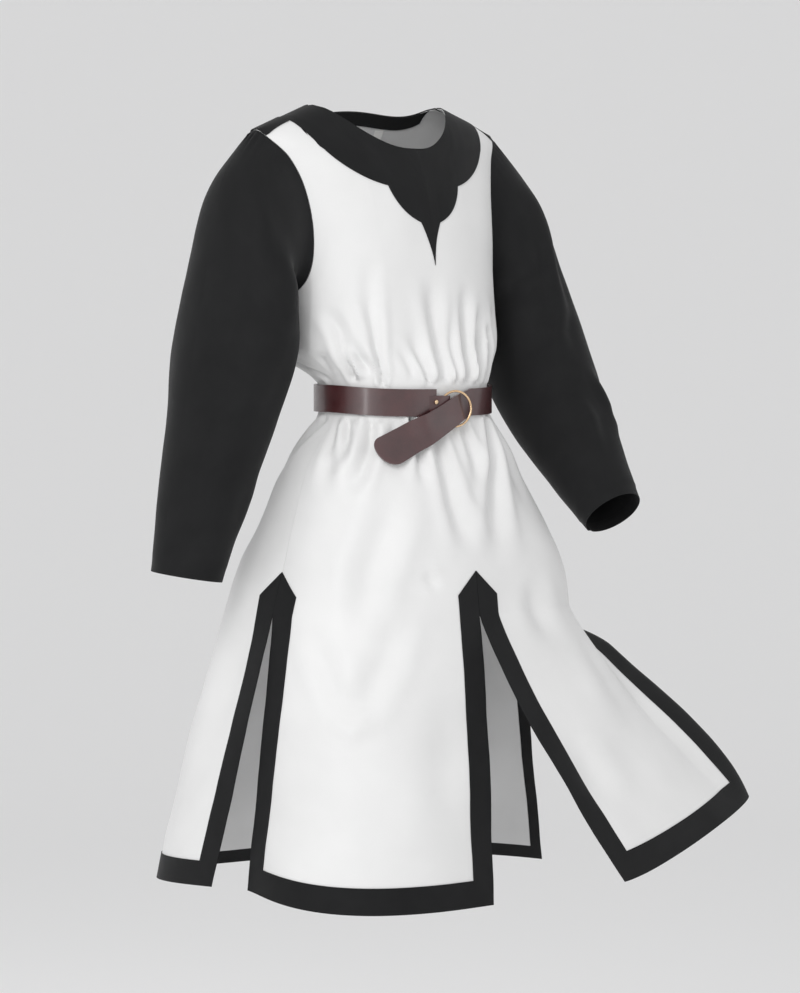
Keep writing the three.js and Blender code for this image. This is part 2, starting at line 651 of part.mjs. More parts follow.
// The strap: from beside the ring round the waist, then out through the ring, over itself
// and down to a rounded tip. Its rows run along it, three points across each.
function strapSheet() {
  const rows = [];
  const around = 60;
  const begin = 2 * Math.PI - 0.19;
  const finish = 0.26;
  const level = BELT_LEVEL;
  const side = read(SECTIONS, level, 'side');
  for (let k = 0; k <= around; k += 1) {
    const angle = lerp(begin, finish, k / around);
    const face = Math.cos(angle) > 0 ? 'front' : 'back';
    const full = 2 / read(SECTIONS, level, 'full');
    const x = (read(SECTIONS, level, 'half') + BELT.off) * power(Math.sin(angle), full);
    const reach = Math.abs(read(SECTIONS, level, face) - side) + BELT.off;
    const y = side - reach * power(Math.cos(angle), full);
    const middle = beltHeight(y);
    rows.push([1, 0, -1].map((v) => new THREE.Vector3(x, y, middle + v * BELT.width / 2)));
  }
  const from = { x: TAIL.start, z: TAIL.top };
  const to = { x: TAIL.end, z: TAIL.top - TAIL.fall };
  const length = Math.hypot(to.x - from.x, to.z - from.z);
  const across = { x: (to.z - from.z) / length, z: -(to.x - from.x) / length };
  const steps = 16;
  for (let k = 0; k <= steps; k += 1) {
    const t = 1 - (1 - k / steps) ** 1.3;
    const rest = BELT.width / 2 - length * (1 - t);
    const half = rest > 0 ? Math.sqrt(Math.max((BELT.width / 2) ** 2 - rest ** 2, 4)) : BELT.width / 2;
    rows.push([1, 0, -1].map((v) => {
      const x = lerp(from.x, to.x, t) + across.x * half * v;
      const z = lerp(from.z, to.z, t) + across.z * half * v;
      const clear = lerp(TAIL.over, TAIL.rest, smooth((-50 - x) / 30));
      return new THREE.Vector3(x, frontY(x, clamp(z, -520, BELT_LEVEL)) - clear, z);
    }));
  }
  return new Sheet().grid(rows);
}

// How far the front layer of the folded end stands off the cloth.
const loopOff = (x) => lerp(LOOP.above, LOOP.tip, smooth((LOOP.right - 14 - x) / 20));

// The strap's other end, folded round the ring's wire: behind it, round it and back in front.
function loopSheet() {
  const path = [];
  for (const t of [0, 0.5, 1]) path.push({ x: lerp(LOOP.back, LOOP.right - 4, t), off: LOOP.under });
  const middle = (LOOP.under + LOOP.above) / 2;
  const radius = (LOOP.above - LOOP.under) / 2;
  for (const angle of [-50, -15, 15, 50]) {
    const turn = rad(angle);
    path.push({ x: LOOP.right - 4 + radius * Math.cos(turn), off: middle + radius * Math.sin(turn) });
  }
  for (const t of [0, 0.25, 0.5, 0.75, 1]) {
    const x = lerp(LOOP.right - 4, LOOP.left, t);
    path.push({ x, off: loopOff(x) });
  }
  const rows = path.map(({ x, off }) => [1, 0, -1].map((v) => {
    const y = frontY(x, BELT_LEVEL) - off;
    return new THREE.Vector3(x, y, beltHeight(y) - LOOP.drop + v * LOOP.height / 2);
  }));
  return new Sheet().grid(rows);
}

function ringGeometry() {
  return new THREE.TorusGeometry(RING.radius, RING.wire, 8, 30).rotateX(Math.PI / 2);
}

// ---------------------------------------------------------------- materials
const finish = (color, roughness, metalness = 0) => (
  new THREE.MeshStandardMaterial({ color, roughness, metalness })
);
const white = finish(0xe9e9e7, 0.8);
const black = finish(0x1b1b1c, 0.85);
const leather = finish(0x3a1a1c, 0.4);
const brass = finish(0xc9a66b, 0.3, 1);
const tape = finish(0xf4f4f2, 0.6);

// ---------------------------------------------------------------- the tunic
const tunic = new THREE.Group();
function add(name, geometry, material) {
  const mesh = new THREE.Mesh(geometry, material);
  mesh.name = name;
  tunic.add(mesh);
  return mesh;
}

const frontSheet = panelSheet(['frontRight', 'frontLeft']);
const backSheet = panelSheet(['back']);
add('front_panel', frontSheet.geometry(-WHITE_WALL / 2, WHITE_WALL / 2), white);
add('back_panel', backSheet.geometry(-WHITE_WALL / 2, WHITE_WALL / 2), white);

const trims = { trim_front_right: 'frontRight', trim_front_left: 'frontLeft', trim_back: 'back' };
for (const [name, tab] of Object.entries(trims)) {
  add(name, trimSheet(tab).geometry(ON_CLOTH, ON_CLOTH + BLACK_WALL), black);
}
for (const hand of ['right', 'left']) {
  add(`sleeve_${hand}`, sleeveSheet(hand).geometry(-BLACK_WALL / 2, BLACK_WALL / 2), black);
}
add('yoke_front', cutFrom(frontSheet, ON_CLOTH, ON_CLOTH + BLACK_WALL, yokeOutline(), -FAR, FAR), black);
add('collar_back', cutFrom(backSheet, ON_CLOTH, ON_CLOTH + BLACK_WALL, collarOutline(), -FAR, FAR), black);
add('neck_facing', cutFrom(backSheet, -ON_CLOTH - BLACK_WALL, -ON_CLOTH, facingOutline(), 0, FAR), black);
add('neck_label', cutFrom(backSheet, -ON_CLOTH - LABEL.wall, -ON_CLOTH, labelOutline(), 0, FAR), tape);
add('shoulder_strip_right', shoulderStrip(-1), black);
add('shoulder_strip_left', shoulderStrip(1), black);

const beltLow = WHITE_WALL / 2;
add('belt_strap', strapSheet().geometry(beltLow, beltLow + BELT.wall), leather);
add('belt_loop', loopSheet().geometry(-LOOP.wall / 2, LOOP.wall / 2), leather);
const ring = add('belt_ring', ringGeometry(), brass);
ring.position.set(RING.x, RING.y, RING.z);
ring.rotation.z = rad(RING.turn);
const cap = new THREE.CylinderGeometry(RIVET.radius, RIVET.radius * 0.8, RIVET.stand, 16);
const rivet = add('belt_rivet', cap, brass);
const rivetY = frontY(RIVET.x, BELT_LEVEL) - loopOff(RIVET.x) - LOOP.wall / 2 - RIVET.under - RIVET.stand / 2;
rivet.position.set(RIVET.x, rivetY, beltHeight(rivetY) + 1);

export default tunic;
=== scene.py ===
# %% [markdown]
# # A medieval tunic in white and black twill, with a ring belt
#
# The garment is filled out as if worn, and hollow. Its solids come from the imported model, and
# this notebook dresses each of them with a thin sheet of cloth, leather or metal.

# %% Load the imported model
import math
import bpy
import numpy as np
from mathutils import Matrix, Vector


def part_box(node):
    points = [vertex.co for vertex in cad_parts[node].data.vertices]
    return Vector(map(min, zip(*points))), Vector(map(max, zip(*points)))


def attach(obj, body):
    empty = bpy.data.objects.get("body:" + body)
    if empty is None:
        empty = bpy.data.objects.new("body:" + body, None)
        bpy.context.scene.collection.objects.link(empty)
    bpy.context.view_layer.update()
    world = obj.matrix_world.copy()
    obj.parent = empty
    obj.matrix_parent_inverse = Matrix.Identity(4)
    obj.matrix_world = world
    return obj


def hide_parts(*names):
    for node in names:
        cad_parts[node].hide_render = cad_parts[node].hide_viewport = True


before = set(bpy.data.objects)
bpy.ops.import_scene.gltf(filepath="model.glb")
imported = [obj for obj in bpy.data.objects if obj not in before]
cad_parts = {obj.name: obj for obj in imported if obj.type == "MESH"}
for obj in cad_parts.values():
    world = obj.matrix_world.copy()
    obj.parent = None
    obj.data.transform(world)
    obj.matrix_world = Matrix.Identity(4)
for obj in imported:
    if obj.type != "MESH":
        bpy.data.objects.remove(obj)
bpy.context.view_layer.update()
print("nodes:", ", ".join(sorted(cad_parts)))

# %% [markdown]
# ## Camera, light and backdrop
#
# The garment is seen from its right front, a little from above, through a long lens. A broad soft
# light and a tall narrow one stand at the camera's left, a weaker one at its right, and one behind.
# The room itself is bright. Standard view keeps the whites of the cloth as bright as they are lit.

# %% Camera and studio
def look_at(target, azimuth, elevation, distance):
    """A place at a distance from the target, and the turn that faces it."""
    a, e = math.radians(azimuth), math.radians(elevation)
    way = np.array([math.sin(a) * math.cos(e), -math.cos(a) * math.cos(e), math.sin(e)])
    turn = (math.pi / 2 - e, 0, a)
    return tuple(np.array(target) + way * distance), turn


CENTRE = (0.03012, -0.02808, -0.5375)
AZIMUTH = -43
place, turn = look_at(CENTRE, AZIMUTH, 2.5, 7.0)
bpy.ops.object.camera_add(location=place, rotation=turn)
camera = bpy.context.object
camera.data.sensor_fit = "VERTICAL"
camera.data.sensor_height = 36
camera.data.lens = 178.7
bpy.context.scene.camera = camera
bpy.context.scene.view_settings.view_transform = "Standard"

for name, azimuth, elevation, wide, tall, watts in (
        ("key_light", -60, 30, 1.7, 1.7, 39), ("strip_light", -62, 2, 0.2, 2.2, 16),
        ("fill_light", 24, 14, 2.4, 2.4, 7), ("back_light", 165, 40, 2.0, 2.0, 14)):
    place, turn = look_at(CENTRE, azimuth, elevation, 3.6)
    bpy.ops.object.light_add(type="AREA", location=place, rotation=turn)
    lamp = bpy.context.object
    lamp.name = name
    lamp.data.shape = "RECTANGLE"
    lamp.data.size, lamp.data.size_y, lamp.data.energy = wide, tall, watts

world = bpy.data.worlds.new("room")
bpy.context.scene.world = world
world.use_nodes = True
world.node_tree.nodes["Background"].inputs[0].default_value = (0.94, 0.94, 0.945, 1)
world.node_tree.nodes["Background"].inputs[1].default_value = 0.755

# %% Floor and backdrop
# one sheet of paper: flat under the garment, then swept up in a wide curve behind it
HALF, BACK, SWEEP, RISE, FLOOR = 14.0, 6.5, 4.0, 12.0, -1.75
profile = [(-12.0, FLOOR), (BACK, FLOOR)]
profile += [(BACK + SWEEP * math.sin(a), FLOOR + SWEEP * (1 - math.cos(a)))
            for a in np.radians(np.arange(4, 91, 4))]
profile += [(BACK + SWEEP, FLOOR + SWEEP + RISE)]
away = np.array(look_at((0, 0, 0), AZIMUTH, 0, -1)[0])
aside = np.array([-away[1], away[0], 0])
points = [tuple(away * far + aside * side + np.array([0, 0, up]))
          for far, up in profile for side in (HALF, -HALF)]
faces = [(2 * k, 2 * k + 1, 2 * k + 3, 2 * k + 2) for k in range(len(profile) - 1)]
sweep = bpy.data.meshes.new("floor")
sweep.from_pydata(points, [], faces)
sweep.polygons.foreach_set("use_smooth", np.ones(len(faces), bool))
floor = bpy.data.objects.new("floor", sweep)
bpy.context.scene.collection.objects.link(floor)
paper = bpy.data.materials.new("paper")
paper.use_nodes = True
paper.node_tree.nodes["Principled BSDF"].inputs["Base Color"].default_value = (0.93, 0.93, 0.93, 1)
paper.node_tree.nodes["Principled BSDF"].inputs["Roughness"].default_value = 0.95
floor.data.materials.append(paper)

# %% [markdown]
# ## The body's sections
#
# A tunic like this is cut from flat cloth, and its filled-out form is read as level sections.
# Each row gives the half width, the Y of centre front, side seam and centre back, and how square
# the section is. All these tables are in millimetres, and a mesh is scaled to metres at the end.

# %% The tables of the form
MM = 0.001
UNDERARM = -262
ROLL_POWER = 2.2
SHOULDER_Y = -3
ARMHOLE_EDGE = 0.9975  # the panels stop just short of the side line
NECK_HALF, NECK_TOP, SHOULDER_SLOPE = 122, 14, 0.37
NECK_DIP = {"front": 45.5, "back": 26}
NECK_CURVE = {"front": (2.2, 0.56, 0.85), "back": (4, 0.5, 0.5)}
HEM, SLIT_PEAK, SLIT_TOP = -1096, -634, -694
TRIM_WIDTH, TRIM_OVERHANG, TRIM_HEAD, TRIM_GAP = 37, 20, 33, 0.15
YOKE_REACH = 174
# the white stops short of the top edge by SHORT of the roll, and by SHORT_AT_NECK more at the neck,
# out to NECK_WRAP times the neck point, where the black wraps over the edge
SHORT, SHORT_AT_NECK, NECK_WRAP = 0.002, 0.012, 1.15


def table(columns, *rows):
    return {name: np.array(values, float) for name, values in zip(columns.split(), zip(*rows))}


SECTIONS = table(
    "z half front side back full",
    (70, 240, -112, -4, 74, 2.3), (-23, 238, -120, -6, 80, 2.3), (-60, 214, -124, -8, 84, 2.3),
    (-110, 197, -128, -11, 88, 2.3), (-180, 187, -131, -14, 90, 2.35), (-262, 180, -137, -20, 88, 2.4),
    (-325, 168, -147, -38, 84, 2.3), (-340, 157, -153, -48, 80, 2.2), (-356, 142, -160, -61, 52, 2.15),
    (-372, 132, -161, -68, 30, 2.15), (-422, 133, -162, -68, 30, 2.15), (-480, 175, -181, -66, 62, 2.2),
    (-560, 203, -200, -64, 100, 2.35), (-635, 221, -213, -60, 148, 2.45), (-850, 265, -238, -40, 214, 2.5),
    (-1100, 312, -256, -16, 252, 2.5))
ARMHOLE = table("z reach", (-23, 67), (-60, 63), (-110, 62), (-180, 64), (-230, 72), (-262, 90))

# Each tab: its face, where it starts and ends, and how far its first edge, middle and last edge
# have swung by the hem (x, y, rise) and with what power of the way down.
TABS = {
    "front_right": ("front", -1, 0, (58, -6, 20, 0.9), (4, 0, 0, 1.3), (-5, 0, 0, 1.3)),
    "front_left": ("front", 0, 1, (66, -184, 42, 1.25), (26, -212, 90, 1.1), (94, -334, 132, 1.05)),
    "back": ("back", -1, 1, (16, 20, 26, 1.2), (0, 0, 18, 1.3), (6, -8, 18, 1.3)),
}
# how far the left tab's outer edge turns outwards, where that starts and how soon it is full
FLARE = {"turn": (34, -32, 14), "from": 0.8, "full": 0.28}


def smooth(t):
    c = np.clip(t, 0, 1)
    return c * c * (3 - 2 * c)


def power(value, exponent):
    return np.sign(value) * np.abs(value) ** exponent


def read(rows, z, column):
    """Smooth reading of one column of a table that is sorted by falling z."""
    heights, values = rows["z"], rows[column]
    last = len(heights) - 1
    z = np.clip(z, heights[-1], heights[0])
    k = np.clip(np.searchsorted(-heights, -z, side="left") - 1, 0, last - 1)
    above, below = np.maximum(np.arange(last + 1) - 1, 0), np.minimum(np.arange(last + 1) + 1, last)
    slope = (values[below] - values[above]) / (heights[below] - heights[above])
    span = heights[k + 1] - heights[k]
    t = (z - heights[k]) / span
    return (values[k] * (1 - smooth(t)) + values[k + 1] * smooth(t)
            + slope[k] * span * t * (1 - t) ** 2 - slope[k + 1] * span * t * t * (1 - t))


def shoulder_height(x):
    """The top of the form falls along the shoulders and levels off between the neck points."""
    out = np.abs(x)
    run = np.where(out < NECK_HALF, (out ** 2 + NECK_HALF ** 2) / (2 * NECK_HALF), out)
    return NECK_TOP - SHOULDER_SLOPE * (run - NECK_HALF)


def width_at(psi, z):
    angle = np.abs(psi) * np.radians(read(ARMHOLE, z, "reach"))
    return np.sign(psi) * read(SECTIONS, z, "half") * power(np.sin(angle), 2 / read(SECTIONS, z, "full"))


def depth_at(face, psi, x, z):
    side = read(SECTIONS, z, "side")
    angle = np.abs(psi) * np.radians(read(ARMHOLE, z, "reach"))
    reach = read(SECTIONS, z, face) - side
    y = side + reach * power(np.maximum(np.cos(angle), 0), 2 / read(SECTIONS, z, "full"))
    rise = np.clip((z - UNDERARM) / (shoulder_height(x) - UNDERARM), 0, 1)
    rolled = (1 - rise ** ROLL_POWER) ** (1 / ROLL_POWER)
    return np.where(z <= UNDERARM, y, SHOULDER_Y + (y - SHOULDER_Y) * rolled)


def swell_at(face, psi, z):
    """The broad swell beside the left slit, where the swinging tab fills the skirt."""
    t = np.clip((-480 - z) / 480, 0, 1)
    along = np.where(t < 0.35, smooth(t / 0.35), smooth((1 - t) / 0.65))
    middle = {"front": 0.66, "back": 1.34}[face]
    return -30 * along * np.exp(-(((psi - middle) / 0.34) ** 2))


def cloth_at(tab, psi, z):
    """A point of the smooth cloth below the underarm."""
    face, start, end, *lines = TABS[tab]
    x = width_at(psi, z)
    y = depth_at(face, psi, x, z)
    inward = np.stack([-x, read(SECTIONS, z, "side") - y], -1)
    inward /= np.maximum(np.linalg.norm(inward, axis=-1, keepdims=True), 1e-6)
    swell = swell_at(face, psi, z)
    point = np.stack([x + inward[..., 0] * swell, y + inward[..., 1] * swell, z + 0 * x], -1)
    fall = np.clip((SLIT_TOP - z) / (SLIT_TOP - HEM), 0, 1.05)
    across = np.clip((psi - start) / (end - start), 0, 1)
    shares = ((1 - across) * (1 - 2 * across), 4 * across * (1 - across), across * (2 * across - 1))
    for (sx, sy, rise, bend), share in zip(lines, shares):
        point = point + (share * fall ** bend)[..., None] * np.array([sx, sy, rise], float)
    if tab == "front_left":
        turned = np.clip((across - FLARE["from"]) / (1 - FLARE["from"]), 0, 1) ** 1.5
        down = smooth(fall / FLARE["full"]) * np.maximum(1 - fall ** 5, 0)
        point = point + (turned * down)[..., None] * np.array(FLARE["turn"], float)
    return point


def find_neck():
    psi, step = 0.5, 0.25
    while step > 1e-7:
        psi += step if width_at(psi, NECK_TOP) < NECK_HALF else -step
        step /= 2
    return float(psi)


NECK_PSI = find_neck()


def chest_at(face, psi, t):
    """A point of the smooth cloth above the underarm; t runs from the neck or shoulder edge down."""
    psi, t = np.broadcast_arrays(np.asarray(psi, float), np.asarray(t, float))
    top = np.full(psi.shape, float(NECK_TOP))
    for _ in range(12):
        top = shoulder_height(width_at(psi, top))
    to_neck = np.minimum(np.abs(psi) / NECK_PSI, 1)
    flat, right, left = NECK_CURVE[face]
    start = np.radians(NECK_DIP[face]) * (1 - to_neck ** flat) ** np.where(psi < 0, right, left) + 0.006
    roll = start + (math.pi / 2 - start) * t
    z = UNDERARM + (top - UNDERARM) * np.maximum(np.cos(roll), 0) ** (2 / ROLL_POWER)
    x = width_at(psi, z)
    return np.stack([x, depth_at(face, psi, x, z), z], -1)

# %% [markdown]
# ## Rulers on the cloth
#
# A cutter measures along the cloth, so the columns of a panel keep their share of each level's
# length, and the bands keep their width. A ruler is the run of distances along one level.

# %% Distances along the cloth
def running(points, axis=0):
    """Lengths along a line of points, or along one way of a grid, from its start."""
    steps = np.cumsum(np.linalg.norm(np.diff(points, axis=axis), axis=-1), axis)
    return np.concatenate([np.zeros_like(steps.take([0], axis)), steps], axis)


def ruler(tab, z, count=181):
    """Places psi and distances along the cloth at each of the levels z, from the tab's first edge."""
    psi = np.linspace(TABS[tab][1], TABS[tab][2], count)
    points = cloth_at(tab, psi[None, :] + 0 * z[:, None], z[:, None] + 0 * psi[None, :])
    return psi, running(points, 1)


def psi_at(tab, distance, z):
    """psi at given distances (levels x columns) along the levels z."""
    psi, lengths = ruler(tab, z)
    return np.array([np.interp(d, row, psi) for d, row in zip(distance, lengths)])


def set_back(z):
    """How far the white stops short of the band's outer edge beside a slit."""
    head = SLIT_PEAK - TRIM_HEAD
    return TRIM_OVERHANG * smooth((head - z) / (head - SLIT_TOP))


def tab_grid(tab, rolls, levels, columns):
    """Rows of points of one tab, from the shoulder to the hem, with the psi of each."""
    under = np.array([float(UNDERARM)])
    psi, lengths = ruler(tab, under)
    total = lengths[0, -1]
    share = np.linspace(0, 1, columns)
    chest_psi = np.interp(share * total, lengths[0], psi)
    side = np.where(np.abs(chest_psi) > 0.9999, np.sign(chest_psi) * ARMHOLE_EDGE, chest_psi)
    short = SHORT + SHORT_AT_NECK * smooth((NECK_WRAP * NECK_PSI - np.abs(side)) / 0.02)
    chest = chest_at(TABS[tab][0], side[None, :], short[None, :] + rolls[:, None] * (1 - short[None, :]))
    lengths = ruler(tab, levels)[1][:, -1:]
    # the side seams stop a hair short, and the centre line stays whole above its slit
    first, last = (np.maximum(set_back(levels), 0.1 if edge else 0.0)[:, None] for edge in TABS[tab][1:3])
    distance = first + share[None, :] * (lengths - first - last)
    below_psi = psi_at(tab, distance, levels)
    below = cloth_at(tab, below_psi, levels[:, None] + 0 * below_psi)
    points = np.concatenate([chest, below])
    return points, np.concatenate([np.repeat(chest_psi[None, :], len(rolls), 0), below_psi])

# %% [markdown]
# ## Creases
#
# The belt draws the cloth in, and the fullness runs up and down from it as troughs with a raised
# lip on each side. Every crease is given as a short path on the flat cloth, from the
# centre line (towards the wearer's left) and by level, so it stays put when the cloth swings out.

# %% The creases of the front and back
# path (across, level)..., half width at its start and end, depth, fade in, fade out, lip
CREASES = {
    "front": [
        # above the belt, from the wearer's right side seam to the left one
        ([(-192, -326), (-190, -372)], 11, 6, 6, .5, .05, .4),
        ([(-172, -300), (-158, -330), (-146, -370)], 9, 4, 9, .5, .05, .5),
        ([(-179, -262), (-152, -316), (-118, -362)], 12, 6, 7, .35, .2, .5),
        ([(-146, -330), (-130, -350), (-118, -364)], 7, 6, 3, .4, .4, .4),
        ([(-120, -180), (-118, -230), (-110, -300), (-106, -378)], 15, 4, 8, .6, .02, .4),
        ([(-70, -318), (-62, -368)], 9, 5, 3, .5, .15, .4),
        ([(-54, -290), (-44, -334), (-36, -374)], 12, 4, 7, .6, .03, .45),
        ([(-12, -215), (-10, -250), (-5, -314), (-8, -374)], 16, 9, 10, .45, .06, .45),
        ([(26, -250), (18, -320), (14, -374)], 10, 4, 6, .6, .04, .4),
        ([(66, -225), (50, -290), (38, -374)], 13, 6, 9, .5, .04, .45),
        ([(98, -262), (74, -320), (62, -374)], 13, 5, 10, .55, .03, .45),
        ([(116, -285), (102, -330), (92, -374)], 9, 4, 10, .5, .03, .4),
        ([(150, -250), (136, -320), (126, -374)], 14, 6, 8, .5, .04, .4),
        # below it
        ([(-176, -422), (-198, -470), (-222, -540)], 5, 16, 7, .03, .6, .4),
        ([(-154, -424), (-166, -452), (-196, -500)], 4, 10, 6, .04, .5, .5),
        ([(-122, -422), (-134, -456), (-160, -494), (-198, -534)], 6, 13, 9, .04, .5, .5),
        ([(-92, -424), (-100, -470), (-112, -520)], 6, 12, 4, .06, .6, .35),
        ([(-66, -420), (-66, -462), (-72, -528)], 3.5, 10, 10, .02, .6, .45),
        ([(-34, -424), (-30, -470), (-24, -540), (-2, -618)], 7, 19, 10, .03, .35, .45),
        ([(20, -424), (32, -480), (38, -540)], 6, 15, 7, .04, .6, .4),
        ([(84, -420), (76, -470), (56, -560), (44, -640)], 6, 22, 12, .03, .5, .45),
        ([(116, -420), (126, -480), (134, -560)], 6, 18, 8, .04, .6, .4),
        # the right tab's long drape and its soft swag
        ([(-100, -486), (-137, -566), (-173, -634), (-203, -790)], 19, 22, 8, .35, .5, .5),
        ([(-264, -700), (-242, -770), (-217, -838)], 18, 17, 5, .4, .3, .4),
        ([(-120, -640), (-162, -750), (-217, -838)], 20, 17, 6, .45, .25, .5),
        ([(-250, -828), (-216, -848), (-180, -824)], 12, 12, -4, .5, .5, .2),
        ([(-96, -634), (-62, -656)], 10, 9, 4, .5, .5, .3),
        ([(-60, -780), (-76, -900), (-70, -1040)], 30, 36, 4, .5, .4, .3),
        # the left tab, which swings out
        ([(104, -640), (122, -690), (128, -760)], 20, 24, 8, .4, .5, .35),
        ([(60, -860), (66, -930), (58, -1010)], 22, 28, 6, .5, .4, .3),
        ([(200, -700), (216, -800), (230, -940)], 24, 32, 6, .4, .5, .3),
    ],
    "back": [
        ([(-176, -300), (-182, -376)], 12, 6, 7, .6, .05, .4),
        ([(-150, -240), (-138, -310), (-128, -376)], 15, 6, 8, .5, .04, .4),
        ([(-96, -290), (-84, -376)], 12, 6, 6, .5, .04, .4),
        ([(-44, -220), (-40, -300), (-34, -376)], 15, 6, 8, .5, .04, .4),
        ([(14, -270), (8, -376)], 13, 6, 6, .6, .04, .4),
        ([(70, -230), (62, -300), (52, -376)], 15, 6, 8, .5, .04, .4),
        ([(120, -280), (106, -376)], 12, 6, 7, .5, .04, .4),
        ([(170, -260), (160, -376)], 14, 6, 7, .5, .04, .4),
        ([(-170, -420), (-166, -440), (-182, -520)], 6, 16, 6, .05, .6, .4),
        ([(-128, -424), (-150, -500), (-190, -620)], 6, 24, 7, .05, .5, .4),
        ([(-70, -424), (-84, -520), (-104, -700)], 6, 28, 8, .05, .5, .4),
        ([(-14, -424), (-18, -520), (-26, -660)], 6, 24, 7, .05, .55, .4),
        ([(42, -424), (52, -520), (76, -720)], 6, 28, 8, .05, .5, .4),
        ([(104, -424), (128, -520), (170, -680)], 6, 26, 7, .05, .5, .4),
        ([(160, -424), (190, -520), (230, -640)], 6, 22, 7, .05, .55, .4),
        ([(-330, -640), (-350, -800), (-352, -1000)], 30, 44, 6, .4, .4, .3),
        ([(-190, -640), (-220, -820), (-230, -1040)], 34, 46, 7, .4, .4, .3),
        ([(-20, -700), (10, -880), (16, -1060)], 36, 48, 7, .4, .4, .3),
        ([(190, -680), (224, -840), (230, -1040)], 34, 46, 7, .4, .4, .3),
        ([(340, -700), (368, -860), (380, -1020)], 30, 40, 6, .4, .4, .3),
    ],
}

# Slight unevenness of hanging cloth: waves with their direction in degrees, length and height.
WAVES = ((20, 210, .55), (75, 160, .45), (118, 118, .35), (160, 87, .25), (48, 64, .16), (97, 43, .1))


def crease_depth(across, down, row):
    """Depth of one crease at places on the flat cloth; positive presses the cloth in."""
    path, start_width, end_width, deep, fade_in, fade_out, lip = row
    path = np.array(path, float)
    lengths = np.linalg.norm(np.diff(path, axis=0), axis=1)
    runs = running(path)
    best = np.full(across.shape, 1e9)
    along = np.zeros(across.shape)
    for k, length in enumerate(lengths):
        way = (path[k + 1] - path[k]) / length
        du, dv = across - path[k, 0], down - path[k, 1]
        t = np.clip(du * way[0] + dv * way[1], 0, length)
        gap = np.hypot(du - t * way[0], dv - t * way[1])
        near = gap < best
        best = np.where(near, gap, best)
        along = np.where(near, (runs[k] + t) / runs[-1], along)
    width = start_width + (end_width - start_width) * along
    trough = np.exp(-((best / width) ** 2))
    ridge = lip * np.exp(-(((best - 1.9 * width) / (0.9 * width)) ** 2))
    return deep * smooth(along / fade_in) * smooth((1 - along) / fade_out) * (trough - ridge)


def waves_at(a, b):
    total = 0
    for k, (angle, length, height) in enumerate(WAVES):
        way = math.radians(angle)
        run = a * math.cos(way) + b * math.sin(way)
        total = total + height * np.sin(2 * math.pi * run / length + 1.7 * k)
    return total


def relief(face, across, down, x, z, to_seam=1e3):
    """How far the cloth lies inside its smooth form; above the slits its side seams lie flat."""
    depth = waves_at(x, z)
    for row in CREASES[face]:
        depth = depth + crease_depth(across, down, row)
    return depth * (1 - (1 - smooth(to_seam / 24)) * smooth((down - SLIT_PEAK) / 30))

# %% [markdown]
# ## From points to a piece of cloth
#
# A sheet is woven first as one surface of points, whose grids are welded where they touch. It then
# gets two faces a cloth's thickness apart and a turned edge, as real cloth has. Its UV map holds
# the flat cloth in metres, so weave and stitches keep their true size on every fold.

# %% Sheets, shells and their maps
def weld(grids):
    """Points, quads and flat-cloth places of several grids (rows down, columns across)."""
    points, flats, quads, base = [], [], [], 0
    for grid, flat in grids:
        rows, columns = grid.shape[:2]
        index = base + np.arange(rows * columns).reshape(rows, columns)
        corners = [index[:-1, :-1], index[1:, :-1], index[1:, 1:], index[:-1, 1:]]
        quads.append(np.stack(corners, -1).reshape(-1, 4))
        points.append(grid.reshape(-1, 3))
        flats.append(flat.reshape(-1, flat.shape[-1]))
        base += rows * columns
    points, flats, quads = np.concatenate(points), np.concatenate(flats), np.concatenate(quads)
    keys = np.round(points * 100).astype(np.int64)
    _, first, inverse = np.unique(keys, axis=0, return_index=True, return_inverse=True)
    inverse = inverse.reshape(-1)
    return points[first], inverse[quads], flats[quads]


def surface_normals(points, quads):
    a, b, c, d = (points[quads[:, k]] for k in range(4))
    face = np.cross(c - a, d - b)
    normals = np.zeros_like(points)
    for k in range(4):
        np.add.at(normals, quads[:, k], face)
    return normals / np.maximum(np.linalg.norm(normals, axis=1, keepdims=True), 1e-9)


def shell(name, points, quads, flats, low, high, outer, inner):
    """A closed thin piece between two offsets of a surface, in metres, with its flat-cloth map."""
    normals = surface_normals(points, quads)
    count = len(points)
    places = np.concatenate([points + normals * high, points + normals * low]) * MM
    sides = np.stack([quads, np.roll(quads, -1, axis=1)], -1).reshape(-1, 2)
    corners = np.stack([flats, np.roll(flats, -1, axis=1)], 2).reshape(-1, 2, 2)
    code = np.sort(sides, axis=1)
    code = code[:, 0] * count + code[:, 1]
    _, place, times = np.unique(code, return_index=True, return_counts=True)
    rim = place[times == 1]
    i, j = sides[rim, 0], sides[rim, 1]
    walls = np.stack([j, i, count + i, count + j], -1)
    wall_flats = np.stack([corners[rim, 1], corners[rim, 0], corners[rim, 0], corners[rim, 1]], 1)
    faces = np.concatenate([quads, count + quads[:, ::-1], walls])
    uvs = np.concatenate([flats, flats[:, ::-1], wall_flats]) * MM
    mesh = bpy.data.meshes.new(name)
    triangles = [list(dict.fromkeys(face)) for face in faces.tolist()]
    keep = [k for k, face in enumerate(triangles) if len(face) > 2]
    mesh.from_pydata(places.tolist(), [], [triangles[k] for k in keep])
    uv = mesh.uv_layers.new(name="cloth")
    flat = []
    for k in keep:
        seen = dict(zip(faces[k].tolist(), uvs[k].tolist()))
        for corner in triangles[k]:
            flat.extend(seen[corner])
    uv.data.foreach_set("uv", flat)
    material = np.array([0] * len(quads) + [1] * len(quads) + [0] * len(walls))[keep]
    mesh.materials.append(outer)
    mesh.materials.append(inner)
    mesh.polygons.foreach_set("material_index", material)
    mesh.polygons.foreach_set("use_smooth", np.ones(len(keep), bool))
    mesh.update()
    mesh.set_sharp_from_angle(angle=math.radians(55))
    piece = bpy.data.objects.new(name, mesh)
    bpy.context.scene.collection.objects.link(piece)
    return piece


